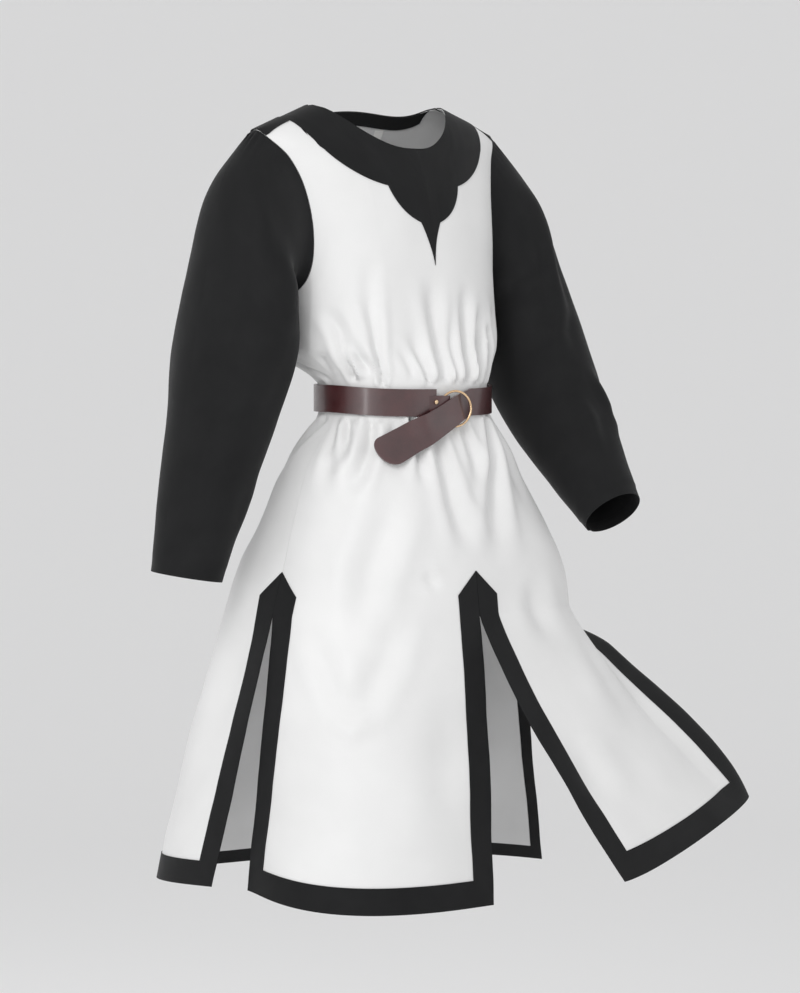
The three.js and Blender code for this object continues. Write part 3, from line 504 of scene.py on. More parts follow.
def dress(piece, node_name):
    """Make a piece ride on the garment and stand for its solid."""
    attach(piece, "root")
    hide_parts(node_name)
    print(piece.name, "faces:", len(piece.data.polygons))


def sew(name, node_name, sheet, low, high, cloths):
    """Make a sheet's piece between two offsets, dress it and state the cloth it is cut from."""
    piece = shell(name, *sheet, low, high, *cloths)
    dress(piece, node_name)


def press(sheet, depth):
    """Move a sheet's points inwards along its own normals."""
    return sheet[0] - surface_normals(*sheet[:2]) * depth[:, None], *sheet[1:]

# %% [markdown]
# ## Cloth, leather and metal
#
# The white is a dense cotton twill with a soft satin face: bright, low in contrast, with a faint
# diagonal rib. The black is the same twill, matt. Stitch rows are pressed into both where the map
# says a seam runs. The leather is oxblood with a printed cross grain and a waxed gloss.

# %% Materials
def link(tree, out, socket):
    tree.links.new(out, socket)


def node(tree, kind, **values):
    made = tree.nodes.new(kind)
    for key, value in values.items():
        if key in made.inputs:
            made.inputs[key].default_value = value
        else:
            setattr(made, key, value)
    return made


def math_node(tree, operation, a, b=None):
    made = tree.nodes.new("ShaderNodeMath")
    made.operation = operation
    for k, value in enumerate((a, b)):
        if value is None:
            continue
        if isinstance(value, (int, float)):
            made.inputs[k].default_value = value
        else:
            link(tree, value, made.inputs[k])
    return made.outputs[0]


def start_material(name, roughness, **more):
    made = bpy.data.materials.new(name)
    made.use_nodes = True
    tree = made.node_tree
    shader = tree.nodes["Principled BSDF"]
    shader.inputs["Roughness"].default_value = roughness
    for key, value in more.items():
        shader.inputs[key.replace("_", " ")].default_value = value
    return made, tree, shader


def flat_place(tree, angle=0.0, scale=1.0):
    """The place on the flat cloth, in metres, turned and scaled."""
    uv = node(tree, "ShaderNodeUVMap", uv_map="cloth")
    turn = node(tree, "ShaderNodeMapping")
    turn.inputs["Rotation"].default_value = (0, 0, angle)
    turn.inputs["Scale"].default_value = (scale, scale, scale)
    link(tree, uv.outputs[0], turn.inputs[0])
    return turn.outputs[0]


def spread(tree, value, start, end, low, high, **more):
    """Bring a value from one range of numbers to another."""
    made = node(tree, "ShaderNodeMapRange", **more)
    for name, number in (("From Min", start), ("From Max", end), ("To Min", low), ("To Max", high)):
        made.inputs[name].default_value = number
    link(tree, value, made.inputs["Value"])
    return made.outputs["Result"]


def mottle(tree, place, scale, low, high, detail=3.0):
    """A slow cloudy factor between two numbers."""
    noise = node(tree, "ShaderNodeTexNoise", Scale=scale, Detail=detail)
    link(tree, place, noise.inputs["Vector"])
    return spread(tree, noise.outputs[0], 0.3, 0.7, low, high)


def bump(tree, shader, height, strength, distance=0.0003):
    made = node(tree, "ShaderNodeBump", Strength=strength, Distance=distance)
    link(tree, height, made.inputs["Height"])
    link(tree, made.outputs[0], shader.inputs["Normal"])


def tint(tree, factor, dark, light):
    ramp = node(tree, "ShaderNodeValToRGB")
    ramp.color_ramp.elements[0].color = (*dark, 1)
    ramp.color_ramp.elements[1].color = (*light, 1)
    link(tree, factor, ramp.inputs[0])
    return ramp.outputs[0]


STITCH = 0.0026  # length of one stitch


def twill(name, dark, light, roughness, sheen, rib=0.9, seams=(), gloss=0.32):
    """Twill: diagonal ribs, cloudy colour, slightly uneven gloss and pressed seam rows.

    Each seam is (axis, place, width): axis 0 counts across the flat cloth, 1 down it, in metres."""
    made, tree, shader = start_material(name, roughness, Sheen_Weight=sheen, Sheen_Roughness=0.45)
    shader.inputs["Specular IOR Level"].default_value = gloss
    place = flat_place(tree)
    cloud = mottle(tree, place, 9.0, 0.15, 0.85)
    fine = mottle(tree, place, 900.0, -0.22, 0.22, 1.0)
    link(tree, tint(tree, math_node(tree, "ADD", cloud, fine), dark, light), shader.inputs["Base Color"])
    link(tree, mottle(tree, place, 22.0, roughness - 0.06, roughness + 0.06), shader.inputs["Roughness"])
    ribs = node(tree, "ShaderNodeTexWave", Scale=0.314 / (rib * MM), Distortion=0.6)
    link(tree, flat_place(tree, math.radians(27)), ribs.inputs["Vector"])
    height = math_node(tree, "MULTIPLY", ribs.outputs[1], 0.3)
    height = math_node(tree, "ADD", height, math_node(tree, "MULTIPLY", fine, 0.5))
    if seams:
        split = node(tree, "ShaderNodeSeparateXYZ")
        link(tree, place, split.inputs[0])
        for axis, where, width in seams:
            gap = math_node(tree, "ABSOLUTE", math_node(tree, "SUBTRACT", split.outputs[axis], where))
            row = spread(tree, gap, 0.0, width, 1.0, 0.0, interpolation_type="SMOOTHSTEP")
            turns = math_node(tree, "MULTIPLY", split.outputs[1 - axis], 2 * math.pi / STITCH)
            beat = math_node(tree, "SINE", turns)
            sunk = math_node(tree, "MULTIPLY", row, math_node(tree, "ADD", 2.0, beat))
            height = math_node(tree, "SUBTRACT", height, math_node(tree, "MULTIPLY", sunk, 0.9))
    bump(tree, shader, height, 0.5)
    return made


WHITE = twill("white_twill", (0.73, 0.73, 0.727), (0.79, 0.79, 0.787), 0.58, 0.15)
# The inside face is the same white twill painted greyer: painted shade for the inside of the panels, seen
# through the slits and the neck.
WHITE_INSIDE_SHADED = twill("white_twill_inside_painted_shade", (0.60, 0.60, 0.60), (0.66, 0.66, 0.66), 0.8, 0.05,
                     seams=((1, 0.0, 0.0006),))


def black(name, *seam_places):
    """Matt black twill with a row of stitches at each place down the flat cloth, in metres."""
    return twill(name, (0.0085, 0.0087, 0.0092), (0.0128, 0.0130, 0.0136), 0.78, 0.06,
                 seams=[(1, place, 0.0006) for place in seam_places], gloss=0.16)


BLACK = black("black_twill")
BLACK_BAND = black("black_twill_band", 0.0345)
BLACK_EDGE = black("black_twill_edge", 0.0025)

# %% [markdown]
# ## The front and back
#
# Each panel is one piece of twill from shoulder to hem. The front's two tabs are cut apart below
# the slit, and the band sewn round each tab reaches past the white by about two centimetres.

# %% The front and back panels
ROLLS = np.linspace(0, 1, 52)
LEVELS = np.concatenate([np.arange(UNDERARM - 4, HEM + TRIM_OVERHANG + 2, -4.0), [HEM + TRIM_OVERHANG]])
COLUMNS = {"front_right": 72, "front_left": 72, "back": 144}


def panel(tabs):
    """Grids of a panel's smooth cloth: points, their places on the flat cloth, how far off a seam is."""
    grids = []
    for tab in tabs:
        face = TABS[tab][0]
        points, psi = tab_grid(tab, ROLLS, LEVELS, COLUMNS[tab])
        across = running(points, 1)
        across -= np.array([np.interp(0, row, run) for row, run in zip(psi, across)])[:, None]
        slit_side = {"front_left": 1, "front_right": -1}.get(tab, 0)
        across += slit_side * set_back(np.concatenate([ROLLS * 0, LEVELS]))[:, None]
        down = points[..., 2].copy()
        down[len(ROLLS):] = LEVELS[:, None]
        ends = [gap for gap, side in ((across - across[:, :1], tab != "front_left"),
                                      (across[:, -1:] - across, tab != "front_right")) if side]
        grids.append([face, points, across, down, np.min(ends, axis=0)])
    return grids


def crease_sheet(grids):
    """Press the creases into welded grids, along the surface's own normals."""
    out = []
    for face, points, across, down, gap in grids:
        way = -1 if face == "back" else 1
        out.append((points[:, ::way], np.stack([across, down, gap], -1)[:, ::way]))
    points, quads, flats = weld(out)
    normals = surface_normals(points, quads)
    place = np.zeros((len(points), 3))
    place[quads.reshape(-1)] = flats.reshape(-1, 3)
    depth = relief(grids[0][0], place[:, 0], place[:, 1], points[:, 0], points[:, 2], place[:, 2])
    return points - normals * depth[:, None], quads, flats[..., :2]


front = crease_sheet(panel(["front_right", "front_left"]))
back = crease_sheet(panel(["back"]))
for name, sheet in (("front", front), ("back", back)):
    # the inner faces get the greyer white, which is painted shade
    sew(name, f"{name}_panel", sheet, -0.5, 0.5, (WHITE, WHITE_INSIDE_SHADED))

# %% [markdown]
# ## The bands of the skirt
#
# Each tab is edged by one black band, folded over a mitre at both hem corners and cut to a point at
# the head of each slit. It is laid on the white and topstitched along its inner edge.

# %% The bands
def band(tab):
    """A U-shaped band: rows run from its outer edge inwards, columns along the tab's outline."""
    face = TABS[tab][0]
    shares = np.linspace(0, 1, 9)
    rows = []
    for share in shares:
        gap = TRIM_GAP + share * (TRIM_WIDTH - TRIM_GAP)
        low = HEM + share * TRIM_WIDTH
        top = SLIT_PEAK - share * TRIM_HEAD
        side = np.linspace(top, low, 92)
        total_low = ruler(tab, np.array([low]))[1][0, -1]
        along = np.linspace(gap, total_low - gap, {"back": 150}.get(tab, 76))[1:-1]
        totals = ruler(tab, side)[1][:, -1]
        levels = np.concatenate([side, np.full(len(along), low), side[::-1]])
        distance = np.concatenate([np.full(len(side), gap), along, totals[::-1] - gap])
        psi = psi_at(tab, distance[:, None], levels)[:, 0]
        columns, lengths = ruler(tab, levels)
        centre = np.array([np.interp(0, columns, row) for row in lengths])
        rows.append((cloth_at(tab, psi, levels), distance - centre, levels))
    points, across, down = (np.stack(parts) for parts in zip(*rows))
    flat = np.stack([np.broadcast_to(running(points[0]), across.shape),
                     np.broadcast_to((shares * TRIM_WIDTH)[:, None], across.shape)], -1)
    # a front band's outline runs down the right side first, seen from outside; a back one's left
    if face == "front":
        points, flat, across, down = (part[::-1] for part in (points, flat, across, down))
    sheet = weld([(points, flat)])
    keys = np.round(points.reshape(-1, 3) * 100).astype(np.int64)
    _, first = np.unique(keys, axis=0, return_index=True)
    across, down = across.reshape(-1)[first], down.reshape(-1)[first]
    return press(sheet, relief(face, across, down, sheet[0][:, 0], sheet[0][:, 2]))


for tab, length in (("front_right", 1.28), ("front_left", 1.28), ("back", 1.80)):
    sew(f"band_{tab}", f"trim_{tab}", band(tab), 0.75, 1.75, (BLACK_BAND, BLACK))

# %% [markdown]
# ## The sleeves
#
# Each sleeve is one piece of black twill, seamed down its rear and set into the armhole with a
# few gathers over the shoulder. The right arm hangs, and the left is carried forwards. Rings run
# from the panel's own armhole edge to the cuff, and the creases lie where each arm bends.

# %% The sleeves
SLEEVES = {
    "right": table(
        "x y z wide deep lean",
        (240, -13, -165, 92, 80, 55), (244, -4, -235, 72, 95, 28), (250, 12, -325, 69, 98, 10),
        (262, 26, -430, 66, 84, 8), (284, 38, -535, 58, 66, 10), (304, 48, -641, 47, 54, 7)),
    "left": table(
        "x y z wide deep lean",
        (232, -12, -168, 90, 80, 54), (250, -26, -240, 72, 90, 28), (254, -62, -325, 68, 90, 6),
        (255, -110, -405, 64, 80, 0), (255, -170, -485, 55, 62, 0), (252, -234, -560, 44, 44, 0)),
}
CHEST_ROLL = (0, 0.12, 0.21, 0.3, 0.4, 0.5, 0.6, 0.7, 0.8, 0.9, 1)
SLEEVE_ROWS, SLEEVE_COLUMNS, CAP_ROWS = 96, 121, 18
RELAX = {"times": 30, "rows": 52, "fade": 30}  # evens the rings out below the armhole
GATHERS = {"height": 1.6, "pitch": 2.6, "reach": 70, "fall": 26}
SEAM_AT = 0.60  # the rear seam, as a share of the way round from the top of the arm to under it

# Creases of a sleeve: path of (round, down) in millimetres, round from the top of the arm
# towards the front, then the same numbers as a panel's creases.
SLEEVE_CREASES = {
    "right": [
        ([(70, 60), (110, 150)], 20, 26, 4, .4, .5, .3),
        ([(150, 60), (168, 200), (176, 330)], 26, 30, 5, .3, .5, .3),
        ([(200, 120), (190, 260), (150, 380)], 16, 22, 5, .4, .5, .4),
        ([(120, 200), (80, 330), (70, 440)], 26, 22, 4, .5, .5, .4),
        ([(214, 60), (236, 160)], 14, 18, 5, .3, .5, .4),
        ([(30, 300), (60, 420)], 20, 20, 3, .5, .5, .3),
        ([(160, 400), (120, 520)], 16, 14, 3, .4, .5, .3),
        ([(-90, 200), (-110, 380)], 24, 26, 4, .5, .5, .3),
        ([(-160, 60), (-180, 180)], 18, 20, 5, .3, .5, .4),
    ],
    "left": [
        ([(60, 50), (104, 150)], 18, 22, 4, .4, .5, .3),
        ([(150, 60), (176, 160), (184, 250)], 18, 22, 6, .3, .5, .4),
        ([(200, 80), (220, 180)], 16, 20, 6, .3, .5, .4),
        ([(-60, 250), (0, 262), (60, 290)], 9, 10, 5, .4, .5, .5),
        ([(-80, 300), (-10, 312), (70, 330)], 10, 12, 6, .3, .5, .5),
        ([(-60, 350), (0, 366), (50, 380)], 8, 10, 5, .4, .5, .5),
        ([(20, 400), (70, 440)], 10, 12, 4, .4, .5, .4),
        ([(120, 210), (150, 270), (150, 330)], 12, 14, 7, .4, .5, .4),
        ([(88, 90), (120, 190), (132, 260)], 14, 12, 6, .4, .4, .5),
        ([(110, 330), (70, 400), (64, 470)], 10, 12, 5, .4, .5, .5),
        ([(150, 360), (118, 420), (110, 500)], 9, 10, 4, .4, .5, .5),
        ([(-120, 180), (-150, 290)], 20, 22, 5, .5, .5, .3),
    ],
}


def curve(values, s):
    """A smooth curve through evenly counted values, at s from 0 to 1."""
    values = np.asarray(values, float)
    last = len(values) - 1
    k = np.clip(np.floor(s * last).astype(int), 0, last - 1)
    t = s * last - k
    ends = np.concatenate([[2 * values[0] - values[1]], values, [2 * values[-1] - values[-2]]])
    a, b, c, d = (ends[k + shift] for shift in range(4))
    bent = (2 * a - 5 * b + 4 * c - d) * t ** 2 + (3 * b - a - 3 * c + d) * t ** 3
    return 0.5 * (2 * b + (c - a) * t + bent)


def armhole(out, angles):
    """The sleeve's first ring: a cloth's thickness outside the panels' armhole edges."""
    count = 2 * (len(CHEST_ROLL) - 1)
    place = angles / (2 * math.pi) * count
    is_front = place <= count / 2
    roll = np.interp(np.where(is_front, place, count - place), np.arange(len(CHEST_ROLL)), CHEST_ROLL)
    rim, inside = (np.where(is_front[:, None], chest_at("front", edge, roll), chest_at("back", edge, roll))
                   for edge in (out * ARMHOLE_EDGE, out * 0.94))
    way = rim - inside
    return rim + 1.4 * way / np.linalg.norm(way, axis=1, keepdims=True)


def sleeve(hand):
    out = -1 if hand == "right" else 1
    rows = SLEEVES[hand]
    angles = np.linspace(0, 2 * math.pi, SLEEVE_COLUMNS)
    s = np.linspace(0, 1, SLEEVE_ROWS)
    middle = np.stack([out * curve(rows["x"], s), curve(rows["y"], s), curve(rows["z"], s)], -1)
    along = np.gradient(middle, axis=0)
    along /= np.linalg.norm(along, axis=1, keepdims=True)
    lean = np.radians(curve(rows["lean"], s))
    across = np.stack([out * np.cos(lean), 0 * lean, np.sin(lean)], -1)
    fore = np.cross(along, across)
    fore /= np.linalg.norm(fore, axis=1, keepdims=True)
    fore *= -np.sign(fore[:, 1:2])
    wide, deep = curve(rows["wide"], s)[:, None, None], curve(rows["deep"], s)[:, None, None]
    rings = (middle[:, None] + across[:, None] * wide * np.cos(angles)[None, :, None]
             + fore[:, None] * deep * np.sin(angles)[None, :, None])
    first = armhole(out, angles)
    u = (np.arange(CAP_ROWS) / CAP_ROWS)[:, None, None]
    top = np.maximum(np.cos(angles), 0)[None, :, None] * np.array([0, 0, 1.0])
    grid = np.concatenate([first * (1 - u) + rings[:1] * u + 8 * u * (1 - u) * top, rings])
    for _ in range(RELAX["times"]):
        change = (grid[:-2] + grid[2:]) / 2 - grid[1:-1]
        fade = smooth((RELAX["rows"] - np.arange(1, len(grid) - 1)) / RELAX["fade"])[:, None, None]
        grid[1:-1] += 0.5 * fade * change
    steps = np.linalg.norm(np.diff(grid, axis=0), axis=-1).mean(1)
    down = np.concatenate([[0], np.cumsum(steps)])
    girth = np.linalg.norm(np.diff(grid, axis=1), axis=-1).sum(1)
    round_ = (angles / (2 * math.pi))[None, :] * girth[:, None]
    length = down[-1]
    flat = np.stack([round_ - girth[:, None] / 2, (length - down)[:, None] + 0 * round_], -1)
    if out < 0:
        grid, flat, angles, round_ = grid[:, ::-1], flat[:, ::-1], angles[::-1], round_[:, ::-1]
    signed = np.where(round_ > girth[:, None] / 2, round_ - girth[:, None], round_)
    normals = np.cross(np.gradient(grid, axis=0), np.gradient(grid, axis=1))
    normals[:, 0] = normals[:, -1] = normals[:, 0] + normals[:, -1]
    normals /= np.maximum(np.linalg.norm(normals, axis=-1, keepdims=True), 1e-9)
    depth = 0.7 * waves_at(grid[..., 1] * 1.3 + 40, grid[..., 2])
    for row in SLEEVE_CREASES[hand]:
        depth = depth + crease_depth(signed, down[:, None] + 0 * signed, row)
    # gathers at the cap, where the longer sleeve edge is eased into the armhole
    gather = np.exp(-((signed / GATHERS["reach"]) ** 2)) * np.exp(-((down[:, None] / GATHERS["fall"]) ** 2))
    gather = gather * smooth(down / 4)[:, None]
    depth = depth + GATHERS["height"] * gather * np.sin(signed / GATHERS["pitch"] + 1.2 * np.sin(signed / 11))
    # the rear seam: a felled ridge with a shallow gutter beside it
    seam = (np.abs(signed) / (girth[:, None] / 2) - SEAM_AT) * girth[:, None] / 2
    rear = round_ > girth[:, None] / 2
    felled = 0.9 * np.exp(-((seam / 3.2) ** 2)) - 1.1 * np.exp(-(((seam - 6) / 2.2) ** 2))
    depth = depth - np.where(rear, felled, 0)
    # the turned hem of the cuff stands out a little
    hem = length - down[:, None]
    depth = depth - 0.5 * smooth((19 - hem) / 2.5) + 0.5 * np.exp(-(((hem - 20) / 1.6) ** 2))
    depth = depth * smooth(down / 10)[:, None]
    return weld([(grid - normals * depth[..., None], flat)])


SLEEVE_BLACK = black("black_twill_sleeve", 0.0175)
for hand in ("right", "left"):
    sew(f"sleeve_{hand}_cloth", f"sleeve_{hand}", sleeve(hand), -0.5, 0.5, (SLEEVE_BLACK, BLACK))

# %% [markdown]
# ## The yoke and collar
#
# The yoke is one black piece laid on the front, cut to two scallops and a spike, with its edge
# turned under and topstitched. The collar behind is plain. Both follow the panel under them, and a
# narrow band is turned in round the back of the neck.

# %% The yoke and collar
ON_CLOTH = 1.1  # how far the middle of a laid-on piece lies above the cloth
SEAM_START = -0.0038  # the roll that reaches the shoulder seam itself
LAID_ROWS = 30
STRIP_REACH = 1.004  # the strips end a hair past the side line, over the sleeve


def arc(start, end, swell, steps):
    """Points from start to end, without the end, that swell out sideways in between."""
    start, end = np.array(start, float), np.array(end, float)
    way = end - start
    side = np.array([-way[1], way[0]]) / np.linalg.norm(way)
    t = np.arange(steps)[:, None] / steps
    return start + way * t + side * swell * 4 * t * (1 - t)


def halve(count, before):
    """Places between 0 and 1 up to which a test holds, found by halving the range."""
    low, high = np.zeros(count), np.ones(count)
    for _ in range(40):
        middle = (low + high) / 2
        holds = before(middle)
        low, high = np.where(holds, middle, low), np.where(holds, high, middle)
    return (low + high) / 2


def psi_of(x, z):
    """The place psi whose cloth is at a given x on the level z, to the wearer's left."""
    return halve(len(x), lambda psi: width_at(psi, z) < x)


def roll_of(face, psi, z):
    """The roll t at which the cloth of the columns psi reaches the heights z."""
    return halve(len(psi), lambda roll: chest_at(face, psi, roll)[:, 2] > z)


def first_roll(psi):
    """Where a black piece starts: at the neck edge, and right at the seam along the shoulder."""
    return np.where(np.abs(psi) > NECK_PSI, SEAM_START, 0.0)


def on_chest(face, psi, roll):
    """A grid laid on the chest: rows share the way down from roll[0] to roll[1] of each column."""
    rows = roll[0][None, :] + np.linspace(0, 1, LAID_ROWS)[:, None] * (roll[1] - roll[0])[None, :]
    points = chest_at(face, psi[None, :] + 0 * rows, rows)
    down, across = running(points), running(points, 1)
    middle = len(psi) // 2
    flat = np.stack([across - across[:, middle:middle + 1], down[-1:] - down], -1)
    if face == "back":
        points, flat = points[:, ::-1], flat[:, ::-1]
    sheet = weld([(points, flat)])
    return press(sheet, waves_at(sheet[0][:, 0], sheet[0][:, 2]))


half = np.concatenate([arc((YOKE_REACH, -8), (66, -99), 18, 34), arc((66, -99), (18, -150), 9, 24),
                       arc((18, -150), (0, -210), -3, 16)])
psi = psi_of(half[:, 0], half[:, 1])
columns = np.concatenate([-psi, [0], psi[::-1]])
ends = np.concatenate([half[:, 1], [-210], half[::-1, 1]])
yoke = on_chest("front", columns, (first_roll(columns), roll_of("front", columns, ends)))
sew("yoke", "yoke_front", yoke, ON_CLOTH - 0.35, ON_CLOTH + 0.65, (BLACK_EDGE, BLACK))


def neck_band(reach, drop, end):
    """A band that follows the back neck edge at a steady drop, out to the place psi of its reach."""
    columns = np.linspace(-reach, reach, 90)
    edge = chest_at("back", columns, 0 * columns)
    outside = np.clip((np.abs(columns) - NECK_PSI) / max(reach - NECK_PSI, 1e-6), 0, 1)
    bottom = (edge[:, 2] - drop) * (1 - outside) + end * outside
    return on_chest("back", columns, (first_roll(columns), roll_of("back", columns, bottom)))


collar_reach = float(psi_of(np.array([YOKE_REACH]), np.array([-20.0]))[0])
sew("collar", "collar_back", neck_band(collar_reach, 50, -30), ON_CLOTH - 0.35, ON_CLOTH + 0.65,
    (BLACK_EDGE, BLACK))
sew("facing", "neck_facing", neck_band(0.985 * NECK_PSI, 18, 0), -ON_CLOTH - 0.65, -ON_CLOTH + 0.35,
    (BLACK_EDGE, BLACK))

# %% [markdown]
# ## Shoulder strips and label
#
# A short black strip covers each shoulder seam outside the yoke, drawn up a little where the
# sleeve's gathers start. The label is a bare loop of woven tape caught under the neck band.

# %% The shoulder strips and the label
def strip(out):
    """A strip across one shoulder seam: rows from front to back, columns out along the seam."""
    inner = float(psi_of(np.array([YOKE_REACH + 0.5]), np.array([-8.0]))[0])
    face_psi = np.linspace(inner, STRIP_REACH, 26)
    front_roll, back_roll = np.linspace(0.12, 0, 9), np.linspace(0, 0.12, 9)
    wider = 1 + 0.45 * smooth((face_psi - face_psi[0]) / (face_psi[-1] - face_psi[0]))
    rows = [chest_at("front", out * face_psi, t * wider) for t in front_roll]
    rows[-1] = (rows[-1] + chest_at("back", out * face_psi, 0 * face_psi)) / 2
    rows += [chest_at("back", out * face_psi, t + 0 * face_psi) for t in back_roll[1:]]
    points = np.stack(rows)
    down, across = running(points[:, 12]), running(points[8])
    flat = np.stack([across[None, :] + 0 * down[:, None], down[:, None] + 0 * across[None, :]], -1)
    if out > 0:
        points, flat = points[::-1], flat[::-1]
    sheet = weld([(points, flat)])
    outwards = np.sign(surface_normals(*sheet[:2])[:, 2:3].mean())
    place = np.abs(sheet[0][:, 0])
    return press(sheet, -outwards * 0.5 * np.sin(sheet[0][:, 1] / 2.1) * smooth((place - 200) / 20))


for hand, out in (("right", -1), ("left", 1)):
    sheet = strip(out)
    if surface_normals(*sheet[:2])[:, 2].mean() < 0:
        sheet = (sheet[0], sheet[1][:, ::-1], sheet[2][:, ::-1])
    sew(f"strip_{hand}", f"shoulder_strip_{hand}", sheet, 1.2, 2.3, (BLACK_EDGE, BLACK))

TAPE = twill("label_tape", (0.78, 0.78, 0.76), (0.86, 0.86, 0.84), 0.6, 0.2, rib=0.6,
             seams=((1, 0.0015, 0.0004),))
TAPE_STEPS = 13
low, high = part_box("neck_label")
wide, tall = (np.linspace(*ends, TAPE_STEPS) / MM for ends in ((low[0], high[0]), (high[2], low[2])))
label_psi = psi_of(wide, np.full(TAPE_STEPS, (low[2] + high[2]) / 2 / MM))
grid = np.stack([chest_at("back", label_psi, roll_of("back", label_psi, np.full(TAPE_STEPS, z)))
                 for z in tall])
flat = np.stack(np.broadcast_arrays((wide - wide[0])[None, :], (tall[0] - tall)[:, None]), -1)
curl = 0.5 * smooth((tall[0] - tall) / (tall[0] - tall[-1])) ** 2
grid[..., 1] -= curl[:, None]
sheet = weld([(grid, flat)])
sheet = press(sheet, -waves_at(sheet[0][:, 0], sheet[0][:, 2]))
sew("label", "neck_label", sheet, ON_CLOTH - 0.1, ON_CLOTH + 0.6, (TAPE, TAPE))

# %% [markdown]
# ## The belt
#
# A plain strap of waxed oxblood leather, 38 mm wide. One end is folded round the ring and
# riveted; the other passes through the ring from behind, doubles back over it and hangs down
# across the front. The strap is lofted along its path with rounded edges.

# %% Leather
def leather(name):
    made, tree, shader = start_material(name, 0.34, Coat_Weight=0.7, Coat_Roughness=0.2)
    shader.inputs["Specular IOR Level"].default_value = 0.8
    place = flat_place(tree)
    cloud = mottle(tree, place, 26.0, 0.1, 0.9, 4.0)
    spots = mottle(tree, place, 420.0, -0.16, 0.16, 2.0)
    uneven = math_node(tree, "ADD", cloud, spots)
    colour = tint(tree, uneven, (0.034, 0.0075, 0.0085), (0.068, 0.0155, 0.0165))
    link(tree, colour, shader.inputs["Base Color"])
    link(tree, mottle(tree, place, 60.0, 0.28, 0.44), shader.inputs["Roughness"])
    height = None
    for angle in (38, -38):
        lines = node(tree, "ShaderNodeTexWave", Scale=0.314 / (1.5 * MM), Distortion=2.2)
        link(tree, flat_place(tree, math.radians(angle)), lines.inputs["Vector"])
        height = lines.outputs[1] if height is None else math_node(tree, "MULTIPLY", height, lines.outputs[1])
    pebble = node(tree, "ShaderNodeTexVoronoi", Scale=1400.0)
    link(tree, place, pebble.inputs["Vector"])
    height = math_node(tree, "ADD", height, math_node(tree, "MULTIPLY", pebble.outputs["Distance"], 0.35))
    bump(tree, shader, height, 0.3)
    return made


LEATHER = leather("oxblood_leather")

# %% The strap and its folded end
BELT = {"width": 38, "middle": -395, "droop": 6, "off": 2.6}
TAIL = {"start": 4, "end": -126, "top": -409, "fall": 66, "over": 12.6, "rest": 6.2}
LOOP = {"right": -9, "back": -26, "left": -45, "height": 32, "drop": 6, "under": 2, "above": 11.8, "tip": 5.6}
STRAP_ACROSS = np.linspace(1, -1, 9)
BELT_LEVEL = BELT["middle"] - BELT["droop"] - BELT["width"] / 2


def front_y(x, z):
    """The front of the smooth form."""
    full, side = read(SECTIONS, z, "full"), read(SECTIONS, z, "side")
    share = np.minimum(np.abs(x) / read(SECTIONS, z, "half"), 1)
    return side + (read(SECTIONS, z, "front") - side) * (1 - share ** full) ** (1 / full)


def belt_height(y):
    """The level of the strap's middle line, which droops towards the front."""
    return BELT["middle"] - BELT["droop"] * smooth((-60 - y) / 110)


def strap_rows():
    """Rows of points across the strap, from beside the ring round the waist, out and down."""
    angle = np.linspace(2 * math.pi - 0.19, 0.26, 240)
    full, side = 2 / read(SECTIONS, BELT_LEVEL, "full"), read(SECTIONS, BELT_LEVEL, "side")
    x = (read(SECTIONS, BELT_LEVEL, "half") + BELT["off"]) * power(np.sin(angle), full)
    reach = np.where(np.cos(angle) > 0, abs(read(SECTIONS, BELT_LEVEL, "front") - side),
                     abs(read(SECTIONS, BELT_LEVEL, "back") - side)) + BELT["off"]
    y = side - reach * power(np.cos(angle), full)
    round_ = np.stack(np.broadcast_arrays(x[:, None], y[:, None],
                                          belt_height(y)[:, None] + STRAP_ACROSS * BELT["width"] / 2), -1)
    start = np.array([TAIL["start"], TAIL["top"]])
    end = np.array([TAIL["end"], TAIL["top"] - TAIL["fall"]])
    length = np.linalg.norm(end - start)
    way = (end - start) / length
    t = 1 - (1 - np.linspace(0, 1, 70)) ** 1.3
    rest = BELT["width"] / 2 - length * (1 - t)
    half = np.where(rest > 0, np.sqrt(np.maximum((BELT["width"] / 2) ** 2 - rest ** 2, 4)), BELT["width"] / 2)
    place = start + way * length * t[:, None]
    xs = place[:, :1] + way[1] * half[:, None] * STRAP_ACROSS
    zs = place[:, 1:] - way[0] * half[:, None] * STRAP_ACROSS
    clear = TAIL["over"] + (TAIL["rest"] - TAIL["over"]) * smooth((-50 - xs) / 30)
    ys = front_y(xs, np.clip(zs, -520, BELT_LEVEL)) - clear
    tail = np.stack([xs, ys, zs], -1)
    bend = round_[-1] + (tail[0] - round_[-1]) * np.linspace(0, 1, 8)[1:-1, None, None]
    return np.concatenate([round_, bend, tail])


def loop_rows():
    """Rows of points across the end that is folded round the ring."""
    inner = np.linspace(LOOP["back"], LOOP["right"] - 4, 8)
    middle, radius = (LOOP["under"] + LOOP["above"]) / 2, (LOOP["above"] - LOOP["under"]) / 2
    angles = np.radians(np.linspace(-75, 75, 15))
    outer = np.linspace(LOOP["right"] - 4, LOOP["left"], 22)
    tip = LOOP["above"] + (LOOP["tip"] - LOOP["above"]) * smooth((LOOP["right"] - 14 - outer) / 20)
    x = np.concatenate([inner, LOOP["right"] - 4 + radius * np.cos(angles), outer])
    off = np.concatenate([0 * inner + LOOP["under"], middle + radius * np.sin(angles), tip])
    y = front_y(x, BELT_LEVEL) - off
    z = belt_height(y)[:, None] - LOOP["drop"] + STRAP_ACROSS * LOOP["height"] / 2
    return np.stack(np.broadcast_arrays(x[:, None], y[:, None], z), -1)


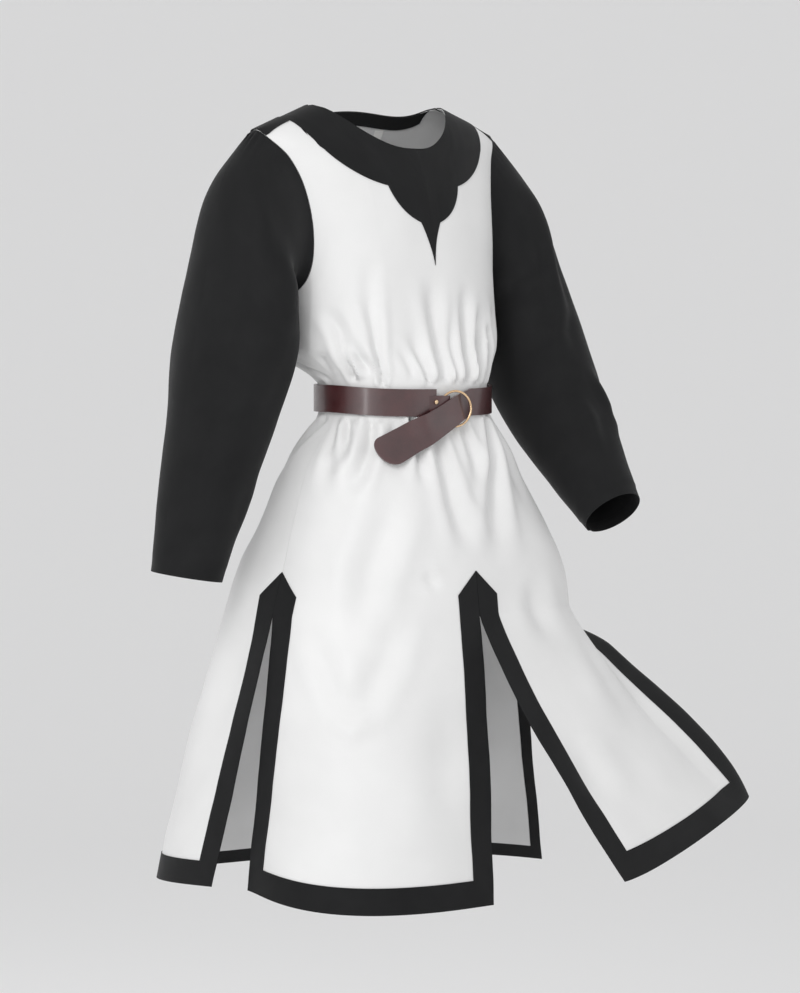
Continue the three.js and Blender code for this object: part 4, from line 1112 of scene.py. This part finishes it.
def strap_piece(name, rows, low, high, width):
    """A thick shell with rounded edges; its length runs along the middle of the rows."""
    run = running(rows[:, len(STRAP_ACROSS) // 2])
    flat = np.stack(np.broadcast_arrays(run[:, None], np.linspace(width, 0, rows.shape[1])[None, :]), -1)
    sheet = weld([(rows, flat)])
    piece = shell(name, *sheet, low, high, LEATHER, LEATHER)
    bpy.ops.object.select_all(action="DESELECT")
    bpy.context.view_layer.objects.active = piece
    piece.select_set(True)
    bpy.ops.object.modifier_add(type="BEVEL")
    bevel = piece.modifiers[-1]
    bevel.width, bevel.segments, bevel.angle_limit = 0.0006, 2, math.radians(60)
    bpy.ops.object.modifier_apply(modifier=bevel.name)
    print(name, "length", round(run[-1]), "mm")
    return piece


dress(strap_piece("strap", strap_rows(), 0.8, 3.8, BELT["width"]), "belt_strap")
dress(strap_piece("strap_fold", loop_rows(), -0.8, 0.8, LOOP["height"]), "belt_loop")

# %% [markdown]
# ## Ring and rivet
#
# The ring is round brass wire, bent and welded, polished to a pale gold. The rivet's low domed cap
# sits on the folded strap beside the ring.

# %% The ring and the rivet
def metal(name):
    made, tree, shader = start_material(name, 0.24, Metallic=1.0)
    place = node(tree, "ShaderNodeTexCoord").outputs["Object"]
    link(tree, tint(tree, mottle(tree, place, 90.0, 0.0, 1.0), (0.70, 0.47, 0.27), (0.86, 0.64, 0.42)),
         shader.inputs["Base Color"])
    link(tree, mottle(tree, place, 700.0, 0.16, 0.34), shader.inputs["Roughness"])
    scratches = node(tree, "ShaderNodeTexNoise", Scale=2600.0, Detail=2.0)
    link(tree, place, scratches.inputs["Vector"])
    bump(tree, shader, scratches.outputs[0], 0.08, 0.0001)
    return made


BRASS = metal("pale_brass")
RING = {"radius": 0.0245, "wire": 0.0017, "turn": 15, "place": (0, -0.1737, -0.4095)}
RIVET = {"dome": 0.42, "sunk": 0.0004}  # its height as a share of its width, and how far it sinks in


def cast(name, node_name, *moves):
    """Name the new mesh, turn and move it within its own frame, and dress it in brass."""
    piece = bpy.context.object
    piece.name = name
    bpy.ops.object.mode_set(mode="EDIT")
    bpy.ops.mesh.select_all(action="SELECT")
    for operator, values in moves:
        operator(**values)
    bpy.ops.object.mode_set(mode="OBJECT")
    bpy.ops.object.shade_smooth()
    piece.data.materials.append(BRASS)
    dress(piece, node_name)


def about(axis, angle):
    values = {"value": angle, "orient_axis": axis, "center_override": (0, 0, 0)}
    return bpy.ops.transform.rotate, values


bpy.ops.mesh.primitive_torus_add(major_radius=RING["radius"], minor_radius=RING["wire"],
                                 major_segments=96, minor_segments=20)
cast("ring", "belt_ring", about("X", math.pi / 2), about("Z", math.radians(RING["turn"])),
     (bpy.ops.transform.translate, {"value": RING["place"]}))

low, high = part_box("belt_rivet")
centre = [(a + b) / 2 for a, b in zip(low, high)]
bpy.ops.mesh.primitive_uv_sphere_add(segments=32, ring_count=16, radius=(high[0] - low[0]) / 2)
cast("rivet", "belt_rivet",
     (bpy.ops.transform.resize, {"value": (1, RIVET["dome"], 1), "center_override": (0, 0, 0)}),
     (bpy.ops.transform.translate, {"value": (centre[0], high[1] - RIVET["sunk"], centre[2])}))
